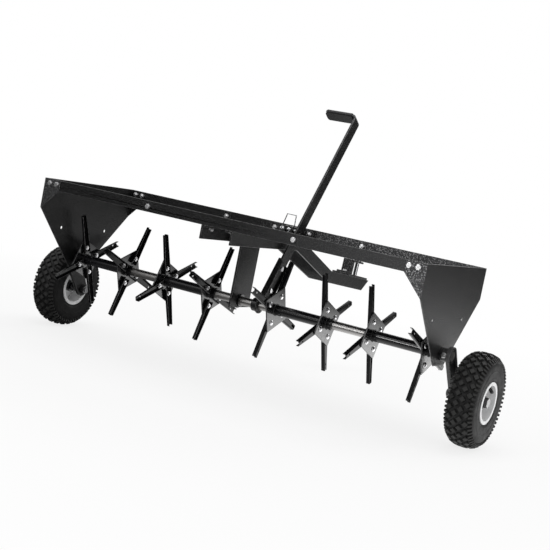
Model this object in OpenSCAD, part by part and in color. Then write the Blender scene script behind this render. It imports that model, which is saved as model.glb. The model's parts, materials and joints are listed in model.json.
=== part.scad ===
// Tow-behind plug aerator: weight tray, four spoon-tine reels on a lift shaft, two wheels and a tongue.
// Millimetres, +Z up, +Y towards the tow vehicle, +X to the right seen from behind.
// The ground is at Z = 0 and the middle of the footprint is at X = Y = 0.

/* [Tray] */
// Length over the outside faces of the end plates
tray_len = 1219; // [1000:1:1500]
// Depth of the tray, front to rear, over the end plate flanges
tray_depth = 424; // [340:1:520]
// Height of the tray walls
tray_wall_h = 31; // [24:1:60]
// Height of the tray's top edge above the ground
tray_top = 463; // [456:1:520]
// Sheet thickness of the tray
sheet_t = 2.5; // [1.5:0.1:4]
// Distance of the cross braces and their bolts from the middle
brace_x = 234; // [150:1:330]
// Width of a cross brace
brace_w = 25; // [18:1:40]

/* [End plates] */
// Thickness of the end plates
plate_t = 3; // [2:0.1:5]
// Height of the end plates' upright sides
plate_side_h = 87; // [70:1:110]
// Depth of the end plates below the tray's top edge
plate_drop = 262; // [256:1:290]
// Half the width of the end plates' foot
plate_foot_half = 45; // [32:1:80]
// Width of the flanges bent round the tray's corners
flange_w = 58; // [45:1:80]
// Distance from the plate's outside to the corner bolts
corner_bolt_in = 22; // [18:0.5:28]
// Distance between the two corner bolts
corner_bolt_gap = 25; // [18:1:30]
// Diameter of the two open holes in each end plate
spare_hole_d = 9; // [6:0.5:13]
// Distance between those two holes
spare_hole_gap = 208; // [150:1:240]
// Depth of those holes below the tray's top edge
spare_hole_drop = 142; // [120:1:160]

/* [Lift shaft] */
// Diameter of the lift shaft
shaft_d = 25; // [20:0.5:28]
// Depth of the shaft below the tray's top edge
shaft_drop = 230; // [222:1:236]
// Radial running clearance of shafts in bushes
run_clear = 0.05; // [0.02:0.01:0.1]
// Radial clearance of fixed fits and bolts
fit_clear = 0.1; // [0.05:0.05:0.3]
// Gap between pieces that turn against each other
turn_gap = 0.3; // [0.2:0.05:0.6]
// Wall of the end bushes and the hanger bush
bush_wall = 5; // [3:0.5:7]
// Length of bush outside the end plates
bush_out = 8; // [5:0.5:12]
// Flange of the bushes, beyond the wall
bush_flange = 6; // [4:0.5:9]
// Thickness of the bush flanges
bush_flange_t = 4; // [3:0.5:6]
// Width of the set collars beside the reels
collar_w = 8; // [6:0.5:10]
// Wall of the set collars
collar_wall = 4.5; // [3.5:0.5:7]
// Place of the hanger plate's middle, from the middle of the machine
hanger_x = -12; // [-14:0.5:-11]
// Width of the hanger plate
hanger_w = 102; // [70:1:110]
// Thickness of the hanger plate
hanger_t = 6; // [4:0.5:8]
// Length of hanger below the shaft's axis
hanger_below = 20; // [18:1:26]
// Length of the hanger's top tab under the tray
hanger_tab = 26; // [22:1:26]

/* [Tine reels] */
// Place of the inner spider of the inner reel
reel_x = 109; // [107:0.5:112]
// Distance between the facing spiders of two reels
reel_gap = 140; // [120:1:160]
// Distance of the outermost spiders from the end plates' outside
reel_end = 32.5; // [30:0.5:40]
// Outside diameter of the reel tubes
tube_od = 30; // [29:0.5:34]
// Length of tube outside each spider
tube_over = 10; // [8:0.5:14]
// Side of the square spider plates
spider_side = 99; // [90:1:110]
// Thickness of the spider plates
spider_t = 4; // [3:0.5:6]
// Radius that trims the spiders' corners
spider_trim_r = 68; // [62:1:74]
// Turn of the first spider of a reel
spider_phase = 22; // [0:1:45]
// Turn of the outer left reel against the others, at rest
reel_roll = 45; // [0:1:90]
// Radius of the tine tips
tine_tip_r = 146; // [130:1:160]
// Radius where the tines begin
tine_root_r = 24; // [22:1:28]
// Width of a tine at its root
tine_root_w = 24; // [22:0.5:26]
// Width of a tine at its tip
tine_tip_w = 17; // [14:0.5:19]
// Depth of a tine's channel
tine_h = 10; // [9:0.5:11]
// Sheet thickness of a tine
tine_t = 2; // [1.5:0.1:2.5]
// Outside radius of a tine's folds
tine_round = 5; // [4:0.5:5]
// Radius of the tine bolts from the shaft
tine_bolt_r = 40; // [37:0.5:44]
// Radius of the tine tips' corners
tine_tip_round = 4; // [2:0.5:5]
// Radius of the notch in the tine tips
tine_notch_r = 3; // [2:0.5:4]
// Diameter of the hole near each tine tip
tine_hole_d = 5; // [3:0.5:6]
// Distance of that hole from the tip
tine_hole_in = 20; // [14:1:30]

/* [Wheels] */
// Outside diameter of the tyres
tyre_d = 256; // [246:1:272]
// Width of the tyres
tyre_w = 80; // [76:1:100]
// Radius of the tyre's shoulders
tyre_round = 19; // [16:1:30]
// Thickness of the tyre
tyre_wall = 8; // [6:0.5:10]
// Height of the tread blocks
tread_h = 5; // [3:0.5:6]
// Number of tread blocks round a tyre, in each row
tread_count = 24; // [18:1:30]
// Length of the shoulder lugs down the tyre's side
lug_drop = 24; // [16:1:28]
// Gap between the rows of tread blocks
groove_w = 6; // [4:0.5:7]
// Distance of the wheels' middle from the end plates' outside
wheel_out = 89; // [86:0.5:102]
// Radius of the rim's bead seat
rim_seat_r = 50; // [48:0.5:54]
// Height of the rim flanges above the bead seat
rim_flange_h = 7; // [5:0.5:9]
// Width of the rim between its flanges
rim_w = 70; // [64:1:74]
// Sheet thickness of the rim
rim_t = 2.5; // [2:0.1:4]
// Outside diameter of the wheel hubs
hub_od = 36; // [30:0.5:44]
// Length of the wheel hubs
hub_len = 46; // [40:0.5:60]
// Diameter of the axle bolts
axle_d = 16; // [12:0.5:20]
// Diameter of the valve stems
valve_d = 8; // [6:0.5:9]
// Length of the valve stems
valve_len = 22; // [18:1:26]

/* [Wheel arms] */
// Distance of the axle in front of the lift shaft
arm_fwd = 82; // [70:1:95]
// Sheet thickness of the wheel arms
arm_t = 5; // [4:0.5:7]
// Radius of the arm round the shaft
arm_top_r = 25; // [24:0.5:30]
// Radius of the arm round the axle
arm_low_r = 22; // [20:0.5:26]
// Depth of the arm's raised rim
arm_rim = 10; // [8:0.5:12]
// Wall of the arm's boss on the shaft
boss_wall = 5.5; // [4:0.5:8]
// Length of the arm's boss
boss_len = 25; // [23:0.5:27]

/* [Lift lever] */
// Place of the lever bar's middle
lever_x = 60; // [58:0.5:62]
// Width of the lever bar
lever_w = 38; // [30:0.5:42]
// Thickness of the lever bar
lever_t = 6; // [5:0.5:8]
// Length of the lever from the shaft's axis to its top
lever_len = 685; // [560:1:760]
// Lean of the lever, forward of upright
lever_lean = 32; // [26:1:34]
// Inside radius of the bend at the lever's top
lever_bend_r = 8; // [6:0.5:12]
// Distance of the lever's lower end from the shaft's axis
lever_foot = 28; // [26:0.5:32]
// Length of the hand grip
grip_len = 88; // [70:1:120]
// Wall of the hand grip
grip_wall = 3; // [2:0.5:4]
// Length of the lever bracket above the shaft's axis
bracket_len = 150; // [142:1:170]
// Sheet thickness of the lever bracket
bracket_t = 4; // [3:0.5:5]
// Depth of the lever bracket's flanges
bracket_flange = 18; // [13:0.5:20]
// Distance of the lower lever bolt from the shaft's axis
lever_bolt_low = 52; // [46:1:60]
// Distance of the upper lever bolt from the shaft's axis
lever_bolt_high = 127; // [110:1:132]
// Range that the lift lever swings rearward, in degrees
lever_swing = 65; // [45:1:66]

/* [Lock] */
// Distance of the lock pin from the shaft's axis, along the lever
lock_s = 257; // [255:0.5:260]
// Diameter of the lock pin
lock_pin_d = 9; // [7:0.5:10]
// Length of the lock pin
lock_pin_len = 58; // [52:1:62]
// Thickness of the lock bracket
lock_t = 4; // [3:0.5:5]
// Length of the lock pin's head
lock_head = 10; // [9:0.5:12]
// Distance between the lock bracket's ears
lock_ear_gap = 21; // [18:0.5:22]
// Length of the lock bracket along the front wall
lock_back_len = 146; // [142:1:160]
// Distance of the lock bracket's bolts from the machine's middle
lock_bolt_x = 59; // [54:0.5:62]
// Diameter of the lock spring's wire
spring_d = 1.6; // [1.2:0.1:1.8]
// Turns of the lock spring
spring_turns = 6; // [4:1:6]
// Diameter of the bail wire
bail_d = 3; // [2.5:0.1:4]
// Height of the bail above the lock pin
bail_h = 46; // [34:1:54]
// Lean of the bail's leg on the pin's head
bail_slant = 12; // [0:1:16]

/* [Tongue] */
// Height of the tongue bars
bar_h = 38; // [32:1:44]
// Thickness of the tongue bars
bar_t = 5; // [4:0.5:6]
// Width of the tongue bars' top flange under the tray
bar_flange = 20; // [17:0.5:20.5]
// Place of the tongue bars at the rear
spread_rear = 48; // [47:0.5:50]
// Place of the tongue bars at the front
spread_front = 26.5; // [22:0.5:30]
// Length of tongue under the tray
tongue_level = 397; // [360:1:405]
// Length of the tongue's drop
tongue_drop_len = 254; // [220:1:300]
// Height of the tongue's drop
tongue_drop = 94; // [70:1:100]
// Length of the tongue's front stretch
tongue_front = 302; // [260:1:360]
// Fall of the tongue's front stretch
tongue_fall = 27; // [10:1:40]
// Length of the slant at the bars' front ends
tongue_slant = 42; // [20:1:60]
// Diameter of the hitch pin
hitch_pin_d = 13; // [10:0.5:16]
// Distance of the hitch pin behind the bars' front ends
hitch_in = 56; // [50:1:62]
// Thickness of the hitch plates
hitch_t = 6; // [5:0.5:8]
// Height of the hitch mouth
hitch_mouth = 42; // [30:1:50]
// Width of the hitch strap
hitch_strap_w = 40; // [34:1:44]

/* [Fasteners] */
// Diameter of the frame bolts
bolt_d = 8; // [6:0.5:10]
// Width of the bolt heads and nuts across flats
bolt_af = 13; // [12:0.5:15]
// Height of the bolt heads
bolt_head_h = 5.3; // [4:0.1:6.5]
// Height of the nuts
nut_h = 6.5; // [5:0.1:8]
// Length of thread past a nut
bolt_tail = 2.5; // [1:0.5:4]

/* [Hidden] */
$fn = 48;
powder = "#1e1e20";
gloss = "#121214";
zinc = "#c6c8ca";
chrome = "#d9dbdd";
white = "#ecebe7";
rubber = "#1a1a1a";
cut = 1;

tray_in = tray_len - 2 * plate_t;
wall_y = tray_depth / 2 - plate_t;
floor_z = tray_top - tray_wall_h;
floor_top = floor_z + sheet_t;
wall_bolt_z = floor_top + (tray_wall_h - sheet_t) / 2 - 2;
corner_bolt_z = floor_top + (tray_wall_h - sheet_t) / 2 + 1;
bolt_hole_d = bolt_d + 2 * fit_clear;

shaft_z = tray_top - shaft_drop;
axle_z = tyre_d / 2;
arm_x = tray_len / 2 + bush_out + turn_gap;
shaft_len = 2 * (arm_x + boss_len);
boss_od = shaft_d + 2 * boss_wall;
boss_in = bolt_af / cos(30) + 2 * turn_gap;
boss_bolt_in = boss_len - boss_in / 2;
arm_web_x = arm_x + boss_in;
bush_od = shaft_d + 2 * run_clear + 2 * bush_wall;
collar_od = shaft_d + 2 * collar_wall;

tube_id = shaft_d + 2 * run_clear;
spider_gap = (tray_len / 2 - reel_end - reel_x - reel_gap) / 2;
reel_pitch = spider_gap + reel_gap;
spider_root = spider_t / 2;
slot_side = lever_t / 2 + 3;
slot_spare = 8;
back_lean = lever_swing - lever_lean;
slot_front = (tray_top - shaft_z) * tan(lever_lean) + lever_w / 2 / cos(lever_lean) + slot_spare;
slot_rear = (floor_top - shaft_z) * tan(back_lean) + lever_w / 2 / cos(back_lean) + slot_spare;

tongue_rear = -wall_y;
tongue_len = tongue_level + tongue_drop_len + tongue_front;
tongue_yaw = atan((spread_rear - spread_front) / tongue_len);
front_pitch = atan(tongue_fall / tongue_front);
top_line = [
    [0, floor_z],
    [tongue_level, floor_z],
    [tongue_level + tongue_drop_len, floor_z - tongue_drop],
    [tongue_len, floor_z - tongue_drop - tongue_fall]
];
tongue_spots = [30, 120, 300];
hitch_run = tongue_len - hitch_in;
hitch_y = tongue_rear + hitch_run * cos(tongue_yaw);
hitch_z = floor_z - tongue_drop - tongue_fall * (1 - hitch_in / tongue_front);
hitch_bars = spread_front + hitch_in * tan(tongue_yaw);
saddle_back = 105;
saddle_fore = 40;
saddle_skirt = 20;
strap_foot = 38;

rear_end = tray_depth / 2 + bolt_head_h;
front_end = tongue_rear + tongue_len * cos(tongue_yaw);
y_mid = (front_end - rear_end) / 2;

lock_x = lever_x - lever_t / 2 - turn_gap - lock_pin_len;
lock_y = lock_s * sin(lever_lean);
lock_z = shaft_z + lock_s * cos(lever_lean);
lock_travel = lever_t + 0.5;
lock_ear_x = lock_x + lock_head + lock_travel + turn_gap + lock_t / 2;
spring_r = lock_pin_d / 2 + 2 * turn_gap + spring_d / 2;
spring_len = lock_ear_gap - lock_t - 2 * turn_gap;
spring_pitch = (spring_len - spring_d) / spring_turns;
spring_rings = 12;
spring_sides = 8;
bail_in = 5;
bail_spare = 5;
bail_reach = lock_pin_len + turn_gap - bail_in - lock_travel - bail_spare;

// The whole machine is drawn with the shaft at Y = 0 and moved so that its footprint is centred
module placed() translate([0, -y_mid, 0]) children();
module both_sides() {
    children();
    mirror([1, 0, 0]) children();
}
module front_and_rear() {
    children();
    mirror([0, 1, 0]) children();
}
module along_x() rotate([0, 90, 0]) children();
module along_y() rotate([-90, 0, 0]) children();
// An outline in the YZ plane, thickened towards +X
module side_sheet(t) rotate([90, 0, 90]) linear_extrude(t) children();
// An outline in the XZ plane, thickened towards +Y
module rear_sheet(t) translate([0, t, 0]) rotate([90, 0, 0]) linear_extrude(t) children();

// Bolt along +Z with its head under z = 0 and its nut on the far side of the grip
module bolt(grip, nut = true) {
    translate([0, 0, -bolt_head_h]) cylinder(h = bolt_head_h, d = bolt_af / cos(30), $fn = 6);
    cylinder(h = grip + nut_h + bolt_tail, d = bolt_d);
    if (nut) translate([0, 0, grip]) cylinder(h = nut_h, d = bolt_af / cos(30), $fn = 6);
}

// Carriage bolt along +Z: a domed head under z = 0 and a nut on the far side of the grip
module carriage_bolt(grip) {
    head_r = bolt_d;
    head_h = bolt_d / 2;
    ball_r = (head_r * head_r + head_h * head_h) / (2 * head_h);
    translate([0, 0, -head_h]) rotate_extrude() intersection() {
        translate([0, ball_r]) circle(ball_r, $fn = 64);
        square([head_r, head_h]);
    }
    cylinder(h = grip + nut_h + bolt_tail, d = bolt_d);
    translate([0, 0, grip]) cylinder(h = nut_h, d = bolt_af / cos(30), $fn = 6);
}

// Outline of two round ends joined by their common tangents
module link_outline(a, ra, b, rb) {
    d = b - a;
    len = norm(d);
    lean = acos((ra - rb) / len);
    dir = atan2(d[1], d[0]);
    translate(a) circle(ra);
    translate(b) circle(rb);
    polygon([
        a + ra * [cos(dir + lean), sin(dir + lean)],
        a + ra * [cos(dir - lean), sin(dir - lean)],
        b + rb * [cos(dir - lean), sin(dir - lean)],
        b + rb * [cos(dir + lean), sin(dir + lean)]
    ]);
}

// Rectangle with round corners, from circles and two squares
module round_rect(size, r) {
    for (x = [r, size[0] - r], y = [r, size[1] - r]) translate([x, y]) circle(r);
    translate([r, 0]) square([size[0] - 2 * r, size[1]]);
    translate([0, r]) square([size[0], size[1] - 2 * r]);
}

// Places of the fasteners, shared by the pieces they join
module corner_spots() {
    for (x = [tray_len / 2 - corner_bolt_in - corner_bolt_gap, tray_len / 2 - corner_bolt_in])
        both_sides() front_and_rear() translate([x, -tray_depth / 2, corner_bolt_z]) along_y() children();
}
module brace_spots() {
    both_sides() front_and_rear() translate([brace_x, -wall_y, wall_bolt_z]) along_y() children();
}
module lock_bolt_spots() {
    both_sides() translate([lock_bolt_x, wall_y, wall_bolt_z]) rotate([90, 0, 0]) children();
}
module hanger_spots() {
    for (s = [-1, 1]) translate([hanger_x + hanger_tab / 2 + 1, s * hanger_w / 4, floor_top]) children();
}
module tongue_spots_right() {
    for (y = tongue_spots)
        tongue_frame() translate([-bar_t / 2 - bar_flange / 2, y, floor_top]) rotate([180, 0, 0]) children();
}

// Tray: one shallow pan of folded sheet with a slot for the lever
module tray() color(powder) placed() difference() {
    translate([-tray_in / 2, -wall_y, floor_z]) cube([tray_in, 2 * wall_y, tray_wall_h]);
    translate([-tray_in / 2 - cut, -wall_y + sheet_t, floor_top])
        cube([tray_in + 2 * cut, 2 * (wall_y - sheet_t), tray_wall_h]);
    translate([lever_x - slot_side, -slot_rear, floor_z - cut])
        cube([2 * slot_side, slot_rear + slot_front, sheet_t + 2 * cut]);
    corner_spots() cylinder(h = plate_t + sheet_t + cut, d = bolt_hole_d);
    brace_spots() translate([0, 0, -cut]) cylinder(h = sheet_t + 2 * cut, d = bolt_hole_d);
    lock_bolt_spots() translate([0, 0, -cut]) cylinder(h = sheet_t + 2 * cut, d = bolt_hole_d);
    hanger_spots() translate([0, 0, -sheet_t - cut]) cylinder(h = sheet_t + 2 * cut, d = bolt_hole_d);
    both_sides() tongue_spots_right() translate([0, 0, -cut]) cylinder(h = sheet_t + 2 * cut, d = bolt_hole_d);
}

// Cross braces: flat straps across the floor with both ends turned up against the walls
module cross_braces() color(powder) placed() both_sides() difference() {
    inner = 2 * (wall_y - sheet_t);
    rise = tray_wall_h - sheet_t - 2;
    translate([brace_x - brace_w / 2, -inner / 2, floor_top]) difference() {
        cube([brace_w, inner, rise]);
        translate([-cut, sheet_t, sheet_t]) cube([brace_w + 2 * cut, inner - 2 * sheet_t, rise]);
    }
    brace_spots() cylinder(h = 3 * sheet_t, d = bolt_hole_d);
}

// End plate, right-hand: a tapered sheet with its front and rear edges folded in round the tray
module end_plate_right() difference() {
    foot_z = tray_top - plate_drop;
    toe = 8;
    union() {
        translate([tray_len / 2 - plate_t, 0, 0]) side_sheet(plate_t) polygon([
            [-tray_depth / 2, tray_top],
            [-tray_depth / 2, tray_top - plate_side_h],
            [-plate_foot_half, foot_z + toe],
            [-plate_foot_half + toe, foot_z],
            [plate_foot_half - toe, foot_z],
            [plate_foot_half, foot_z + toe],
            [tray_depth / 2, tray_top - plate_side_h],
            [tray_depth / 2, tray_top]
        ]);
        front_and_rear() translate([tray_len / 2 - plate_t, -tray_depth / 2, tray_top])
            rear_sheet(plate_t) polygon([
                [0, 0],
                [plate_t - flange_w, 0],
                [plate_t - flange_w, -tray_wall_h],
                [0, -plate_side_h]
            ]);
    }
    translate([tray_len / 2 - plate_t - cut, 0, shaft_z]) along_x()
        cylinder(h = plate_t + 2 * cut, d = bush_od + 2 * fit_clear);
    front_and_rear() translate([tray_len / 2 - plate_t - cut, spare_hole_gap / 2, tray_top - spare_hole_drop])
        along_x() cylinder(h = plate_t + 2 * cut, d = spare_hole_d);
    corner_spots() translate([0, 0, -cut]) cylinder(h = plate_t + 2 * cut, d = bolt_hole_d);
}
module left_end_plate() color(powder) placed() mirror([1, 0, 0]) end_plate_right();
module right_end_plate() color(powder) placed() end_plate_right();

// End bush, right-hand: a flanged bearing pushed out through the end plate from inside
module end_bush_right() translate([tray_len / 2 - plate_t, 0, shaft_z]) along_x() difference() {
    union() {
        cylinder(h = plate_t + bush_out, d = bush_od);
        translate([0, 0, -bush_flange_t]) cylinder(h = bush_flange_t, d = bush_od + 2 * bush_flange);
    }
    translate([0, 0, -bush_flange_t - cut])
        cylinder(h = plate_t + bush_out + bush_flange_t + 2 * cut, d = shaft_d + 2 * run_clear);
}
module left_end_bush() color(gloss) placed() mirror([1, 0, 0]) end_bush_right();
module right_end_bush() color(gloss) placed() end_bush_right();

// Centre hanger: a plate that hangs from the tray floor and carries the middle of the shaft
module centre_hanger() color(powder) placed() difference() {
    union() {
        translate([hanger_x - hanger_t / 2, -hanger_w / 2, shaft_z - hanger_below])
            cube([hanger_t, hanger_w, floor_z - shaft_z + hanger_below]);
        translate([hanger_x - hanger_t / 2, -hanger_w / 2, floor_z - hanger_t])
            cube([hanger_tab, hanger_w, hanger_t]);
    }
    translate([hanger_x - hanger_t, 0, shaft_z]) along_x()
        cylinder(h = 2 * hanger_t, d = bush_od + 2 * fit_clear);
    hanger_spots() translate([0, 0, -sheet_t - hanger_t - cut])
        cylinder(h = hanger_t + 2 * cut, d = bolt_hole_d);
}
module hanger_spot() translate([hanger_x - hanger_t / 2, 0, shaft_z]) along_x() children();
module hanger_bush() color(gloss) placed() hanger_spot() difference() {
    union() {
        cylinder(h = hanger_t + bush_flange_t, d = bush_od);
        translate([0, 0, -bush_flange_t]) cylinder(h = bush_flange_t, d = bush_od + 2 * bush_flange);
    }
    translate([0, 0, -bush_flange_t - cut])
        cylinder(h = hanger_t + 2 * bush_flange_t + 2 * cut, d = shaft_d + 2 * run_clear);
}

// Tongue: the right-hand bar's own frame starts at its rear end and runs forward along +Y
module tongue_frame() translate([spread_rear, tongue_rear, 0]) rotate([0, 0, tongue_yaw]) children();
function run_dir(i) = (top_line[i + 1] - top_line[i]) / norm(top_line[i + 1] - top_line[i]);
function down_of(d) = [d[1], -d[0]];
function mitre(i) =
    let (a = down_of(run_dir(i - 1)), b = down_of(run_dir(i)))
    top_line[i] + bar_h * (a + b) / (1 + a * b);
module tongue_bar_right() difference() {
    tongue_frame() {
        translate([-bar_t / 2, 0, 0]) side_sheet(bar_t) polygon([
            top_line[0], top_line[1], top_line[2], top_line[3],
            top_line[3] + bar_h * down_of(run_dir(2)) - tongue_slant * run_dir(2),
            mitre(2), mitre(1), top_line[0] - [0, bar_h]
        ]);
        translate([-bar_t / 2 - bar_flange, 0, floor_z - bar_t]) cube([bar_flange + cut, tongue_level, bar_t]);
    }
    tongue_spots_right() cylinder(h = sheet_t + bar_t + cut, d = bolt_hole_d);
}
module left_tongue_bar() color(powder) placed() mirror([1, 0, 0]) tongue_bar_right();
module right_tongue_bar() color(powder) placed() tongue_bar_right();

// Hitch: its frame lies on the bars' top edges, with the hitch pin's axis at its origin
module hitch_frame() translate([0, hitch_y, hitch_z]) rotate([-front_pitch, 0, 0]) children();
module strap_spots() {
    hitch_frame() translate([0, -saddle_back + strap_foot / 2 + 4, 0]) children();
}
// The saddle lies on the bars' top edges, with a skirt down the inside of each bar
function saddle_half(y) = hitch_bars - y * tan(tongue_yaw) + bar_t / 2;
function saddle_inner(y) = saddle_half(y) - bar_t - fit_clear;
module hitch_saddle() color(powder) placed() difference() {
    hitch_frame() {
        translate([0, 0, fit_clear]) linear_extrude(hitch_t) polygon([
            [-saddle_half(-saddle_back), -saddle_back], [saddle_half(-saddle_back), -saddle_back],
            [saddle_half(saddle_fore), saddle_fore], [-saddle_half(saddle_fore), saddle_fore]
        ]);
        both_sides() translate([0, 0, -saddle_skirt]) linear_extrude(saddle_skirt + cut) polygon([
            [saddle_inner(-saddle_back) - hitch_t, -saddle_back], [saddle_inner(-saddle_back), -saddle_back],
            [saddle_inner(saddle_fore), saddle_fore], [saddle_inner(saddle_fore) - hitch_t, saddle_fore]
        ]);
    }
    hitch_frame() translate([0, 0, -cut]) cylinder(h = hitch_t + 3 * cut, d = hitch_pin_d + 2 * run_clear);
    strap_spots() translate([0, 0, -cut]) cylinder(h = hitch_t + 3 * cut, d = bolt_hole_d);
}
module hitch_strap() color(powder) placed() difference() {
    base = hitch_t + fit_clear;
    riser_y = -saddle_back + strap_foot + 4;
    hitch_frame() union() {
        translate([-hitch_strap_w / 2, -saddle_back + 4, base]) cube([hitch_strap_w, strap_foot, hitch_t]);
        translate([-hitch_strap_w / 2, riser_y - hitch_t, base])
            cube([hitch_strap_w, hitch_t, hitch_mouth + hitch_t]);
        translate([-hitch_strap_w / 2, riser_y - hitch_t, base + hitch_mouth])
            cube([hitch_strap_w, -riser_y + hitch_t, hitch_t]);
        translate([0, 0, base + hitch_mouth]) cylinder(h = hitch_t, d = hitch_strap_w);
    }
    hitch_frame() translate([0, 0, base + hitch_mouth - cut])
        cylinder(h = hitch_t + 2 * cut, d = hitch_pin_d + 2 * run_clear);
    strap_spots() translate([0, 0, base - cut]) cylinder(h = hitch_t + 2 * cut, d = bolt_hole_d);
}
// Hitch pin: a round bar with its top bent over as a handle
module hitch_pin() color(chrome) placed() hitch_frame() {
    top = 2 * hitch_t + fit_clear + hitch_mouth;
    handle = 26;
    bend = hitch_pin_d;
    translate([0, 0, -bar_h]) cylinder(h = bar_h + top + turn_gap, d = hitch_pin_d);
    translate([0, 0, top + turn_gap]) cylinder(h = 2, d = hitch_pin_d * 1.7);
    translate([0, 0, top + turn_gap]) cylinder(h = 4, d = hitch_pin_d);
    translate([bend, 0, top + turn_gap + 4]) rotate([90, 0, 180]) rotate_extrude(angle = 90)
        translate([bend, 0]) circle(d = hitch_pin_d, $fn = 32);
    translate([bend, 0, top + turn_gap + 4 + bend]) along_x() cylinder(h = handle, d = hitch_pin_d);
}

// Lock bracket: a back on the front wall with two ears that guide the lock pin
module lock_bracket() color(powder) placed() difference() {
    inner_y = wall_y - sheet_t;
    rise = tray_wall_h - sheet_t - 1;
    ear_len = inner_y - lock_y + 14;
    union() {
        translate([-lock_back_len / 2, inner_y - lock_t, floor_top]) cube([lock_back_len, lock_t, rise]);
        for (x = [lock_ear_x, lock_ear_x + lock_ear_gap])
            translate([x - lock_t / 2, inner_y - ear_len, floor_top]) cube([lock_t, ear_len, rise]);
    }
    translate([lock_ear_x - lock_t, lock_y, lock_z]) along_x()
        cylinder(h = lock_ear_gap + 2 * lock_t, d = lock_pin_d + 2 * run_clear);
    lock_bolt_spots() cylinder(h = sheet_t + lock_t + cut, d = bolt_hole_d);
}

// Lock pin: it slides along +X into the hole in the lever, with a wire bail on its head
module lock_frame() translate([lock_x, lock_y, lock_z]) children();
module lock_pin() color(chrome) placed() lock_frame() difference() {
    union() {
        along_x() cylinder(h = lock_pin_len - 2, d = lock_pin_d);
        translate([lock_pin_len - 2, 0, 0]) along_x() cylinder(h = 2, d1 = lock_pin_d, d2 = lock_pin_d - 3);
        along_x() cylinder(h = lock_head, d = lock_pin_d + 5);
    }
    translate([bail_in, 0, 0]) along_y()
        cylinder(h = 3 * lock_pin_d, d = bail_d + 2 * run_clear, center = true);
}
// Lock spring: one unbroken wire wound round the pin between the bracket's ears
function spring_point(i, j) =
    let (turn = 360 * i / spring_rings, side = 360 * j / spring_sides, r = spring_r + spring_d / 2 * cos(side))
    [spring_pitch * i / spring_rings + spring_d / 2 * (1 + sin(side)), r * cos(turn), r * sin(turn)];
module lock_spring() color(chrome) placed() lock_frame() {
    last = spring_turns * spring_rings;
    translate([lock_ear_x + lock_t / 2 + turn_gap - lock_x, 0, 0]) polyhedron(
        points = [for (i = [0:last], j = [0:spring_sides - 1]) spring_point(i, j)],
        faces = concat(
            [[for (j = [0:spring_sides - 1]) j]],
            [[for (j = [spring_sides - 1:-1:0]) last * spring_sides + j]],
            [for (i = [0:last - 1], j = [0:spring_sides - 1], half = [0, 1])
                let (a = i * spring_sides + j, b = i * spring_sides + (j + 1) % spring_sides)
                half == 0 ? [b, a, a + spring_sides] : [b, a + spring_sides, b + spring_sides]]
        ));
    near = [for (i = [0:last - spring_rings], k = [spring_rings - 2:spring_rings + 2])
        if (i + k <= last) norm(spring_axis(i + k) - spring_axis(i))];
    echo(least_gap_of_the_spring_to_itself = min(near) - spring_d);
}
function spring_axis(i) = [spring_pitch * i / spring_rings,
    spring_r * cos(360 * i / spring_rings), spring_r * sin(360 * i / spring_rings)];
// Lock bail: one bent wire, hung in the pin's head and hooked down beside the pin's far end
module lock_bail() color(chrome) placed() lock_frame() translate([bail_in, 0, 0]) {
    side = (lock_pin_d + 5) / 2 + turn_gap + bail_d / 2;
    along_y() cylinder(h = 2 * side, d = bail_d, center = true);
    translate([0, side, 0]) {
        sphere(d = bail_d);
        cylinder(h = 2 * bail_d, d = bail_d);
    }
    translate([0, -side, 0]) {
        sphere(d = bail_d);
        rotate([0, atan(bail_slant / bail_h), 0]) cylinder(h = norm([bail_slant, bail_h]), d = bail_d);
        translate([bail_slant, 0, bail_h]) {
            sphere(d = bail_d);
            along_x() cylinder(h = bail_reach - bail_slant, d = bail_d);
        }
        translate([bail_reach, 0, 0]) {
            sphere(d = bail_d);
            cylinder(h = bail_h, d = bail_d);
            translate([0, 0, bail_h]) sphere(d = bail_d);
        }
    }
}

// Fasteners of the frame
module corner_bolts() color(zinc) placed() corner_spots() bolt(plate_t + sheet_t);
module brace_bolts() color(zinc) placed() brace_spots() bolt(2 * sheet_t);
module lock_bracket_bolts() color(zinc) placed() lock_bolt_spots() bolt(sheet_t + lock_t);
module tongue_bolts() color(zinc) placed() both_sides() tongue_spots_right() bolt(sheet_t + bar_t);
module hanger_bolts() color(zinc) placed() hanger_spots() rotate([180, 0, 0]) bolt(sheet_t + hanger_t);
module hitch_bolts() color(zinc) placed()
    strap_spots() translate([0, 0, 2 * hitch_t + fit_clear]) rotate([180, 0, 0]) bolt(2 * hitch_t);

// Lift shaft and what is fixed to it
module lift_shaft() color(chrome) placed() translate([-shaft_len / 2, 0, shaft_z]) along_x() difference() {
    cylinder(h = shaft_len, d = shaft_d);
    for (x = [boss_bolt_in, shaft_len - boss_bolt_in])
        translate([0, 0, x]) rotate([90, 0, 0]) cylinder(h = 2 * shaft_d, d = bolt_hole_d, center = true);
}
module collar(x, w, od) translate([x, 0, shaft_z]) along_x() difference() {
    cylinder(h = w, d = od);
    translate([0, 0, -cut]) cylinder(h = w + 2 * cut, d = shaft_d + 2 * fit_clear);
}
function reel_start(n) = reel_x + n * reel_pitch - spider_t / 2 - tube_over;
function reel_stop(n) = reel_x + n * reel_pitch + spider_gap + spider_t / 2 + tube_over;
module reel_collars() color(gloss) placed() both_sides() for (n = [0, 1]) {
    collar(reel_start(n) - turn_gap - collar_w, collar_w, collar_od);
    collar(reel_stop(n) + turn_gap, collar_w, collar_od);
}
module lever_collar() color(gloss) placed()
    collar(lever_x - lever_t / 2 - bracket_t - 2 * collar_w, 2 * collar_w, collar_od + 4);

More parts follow.
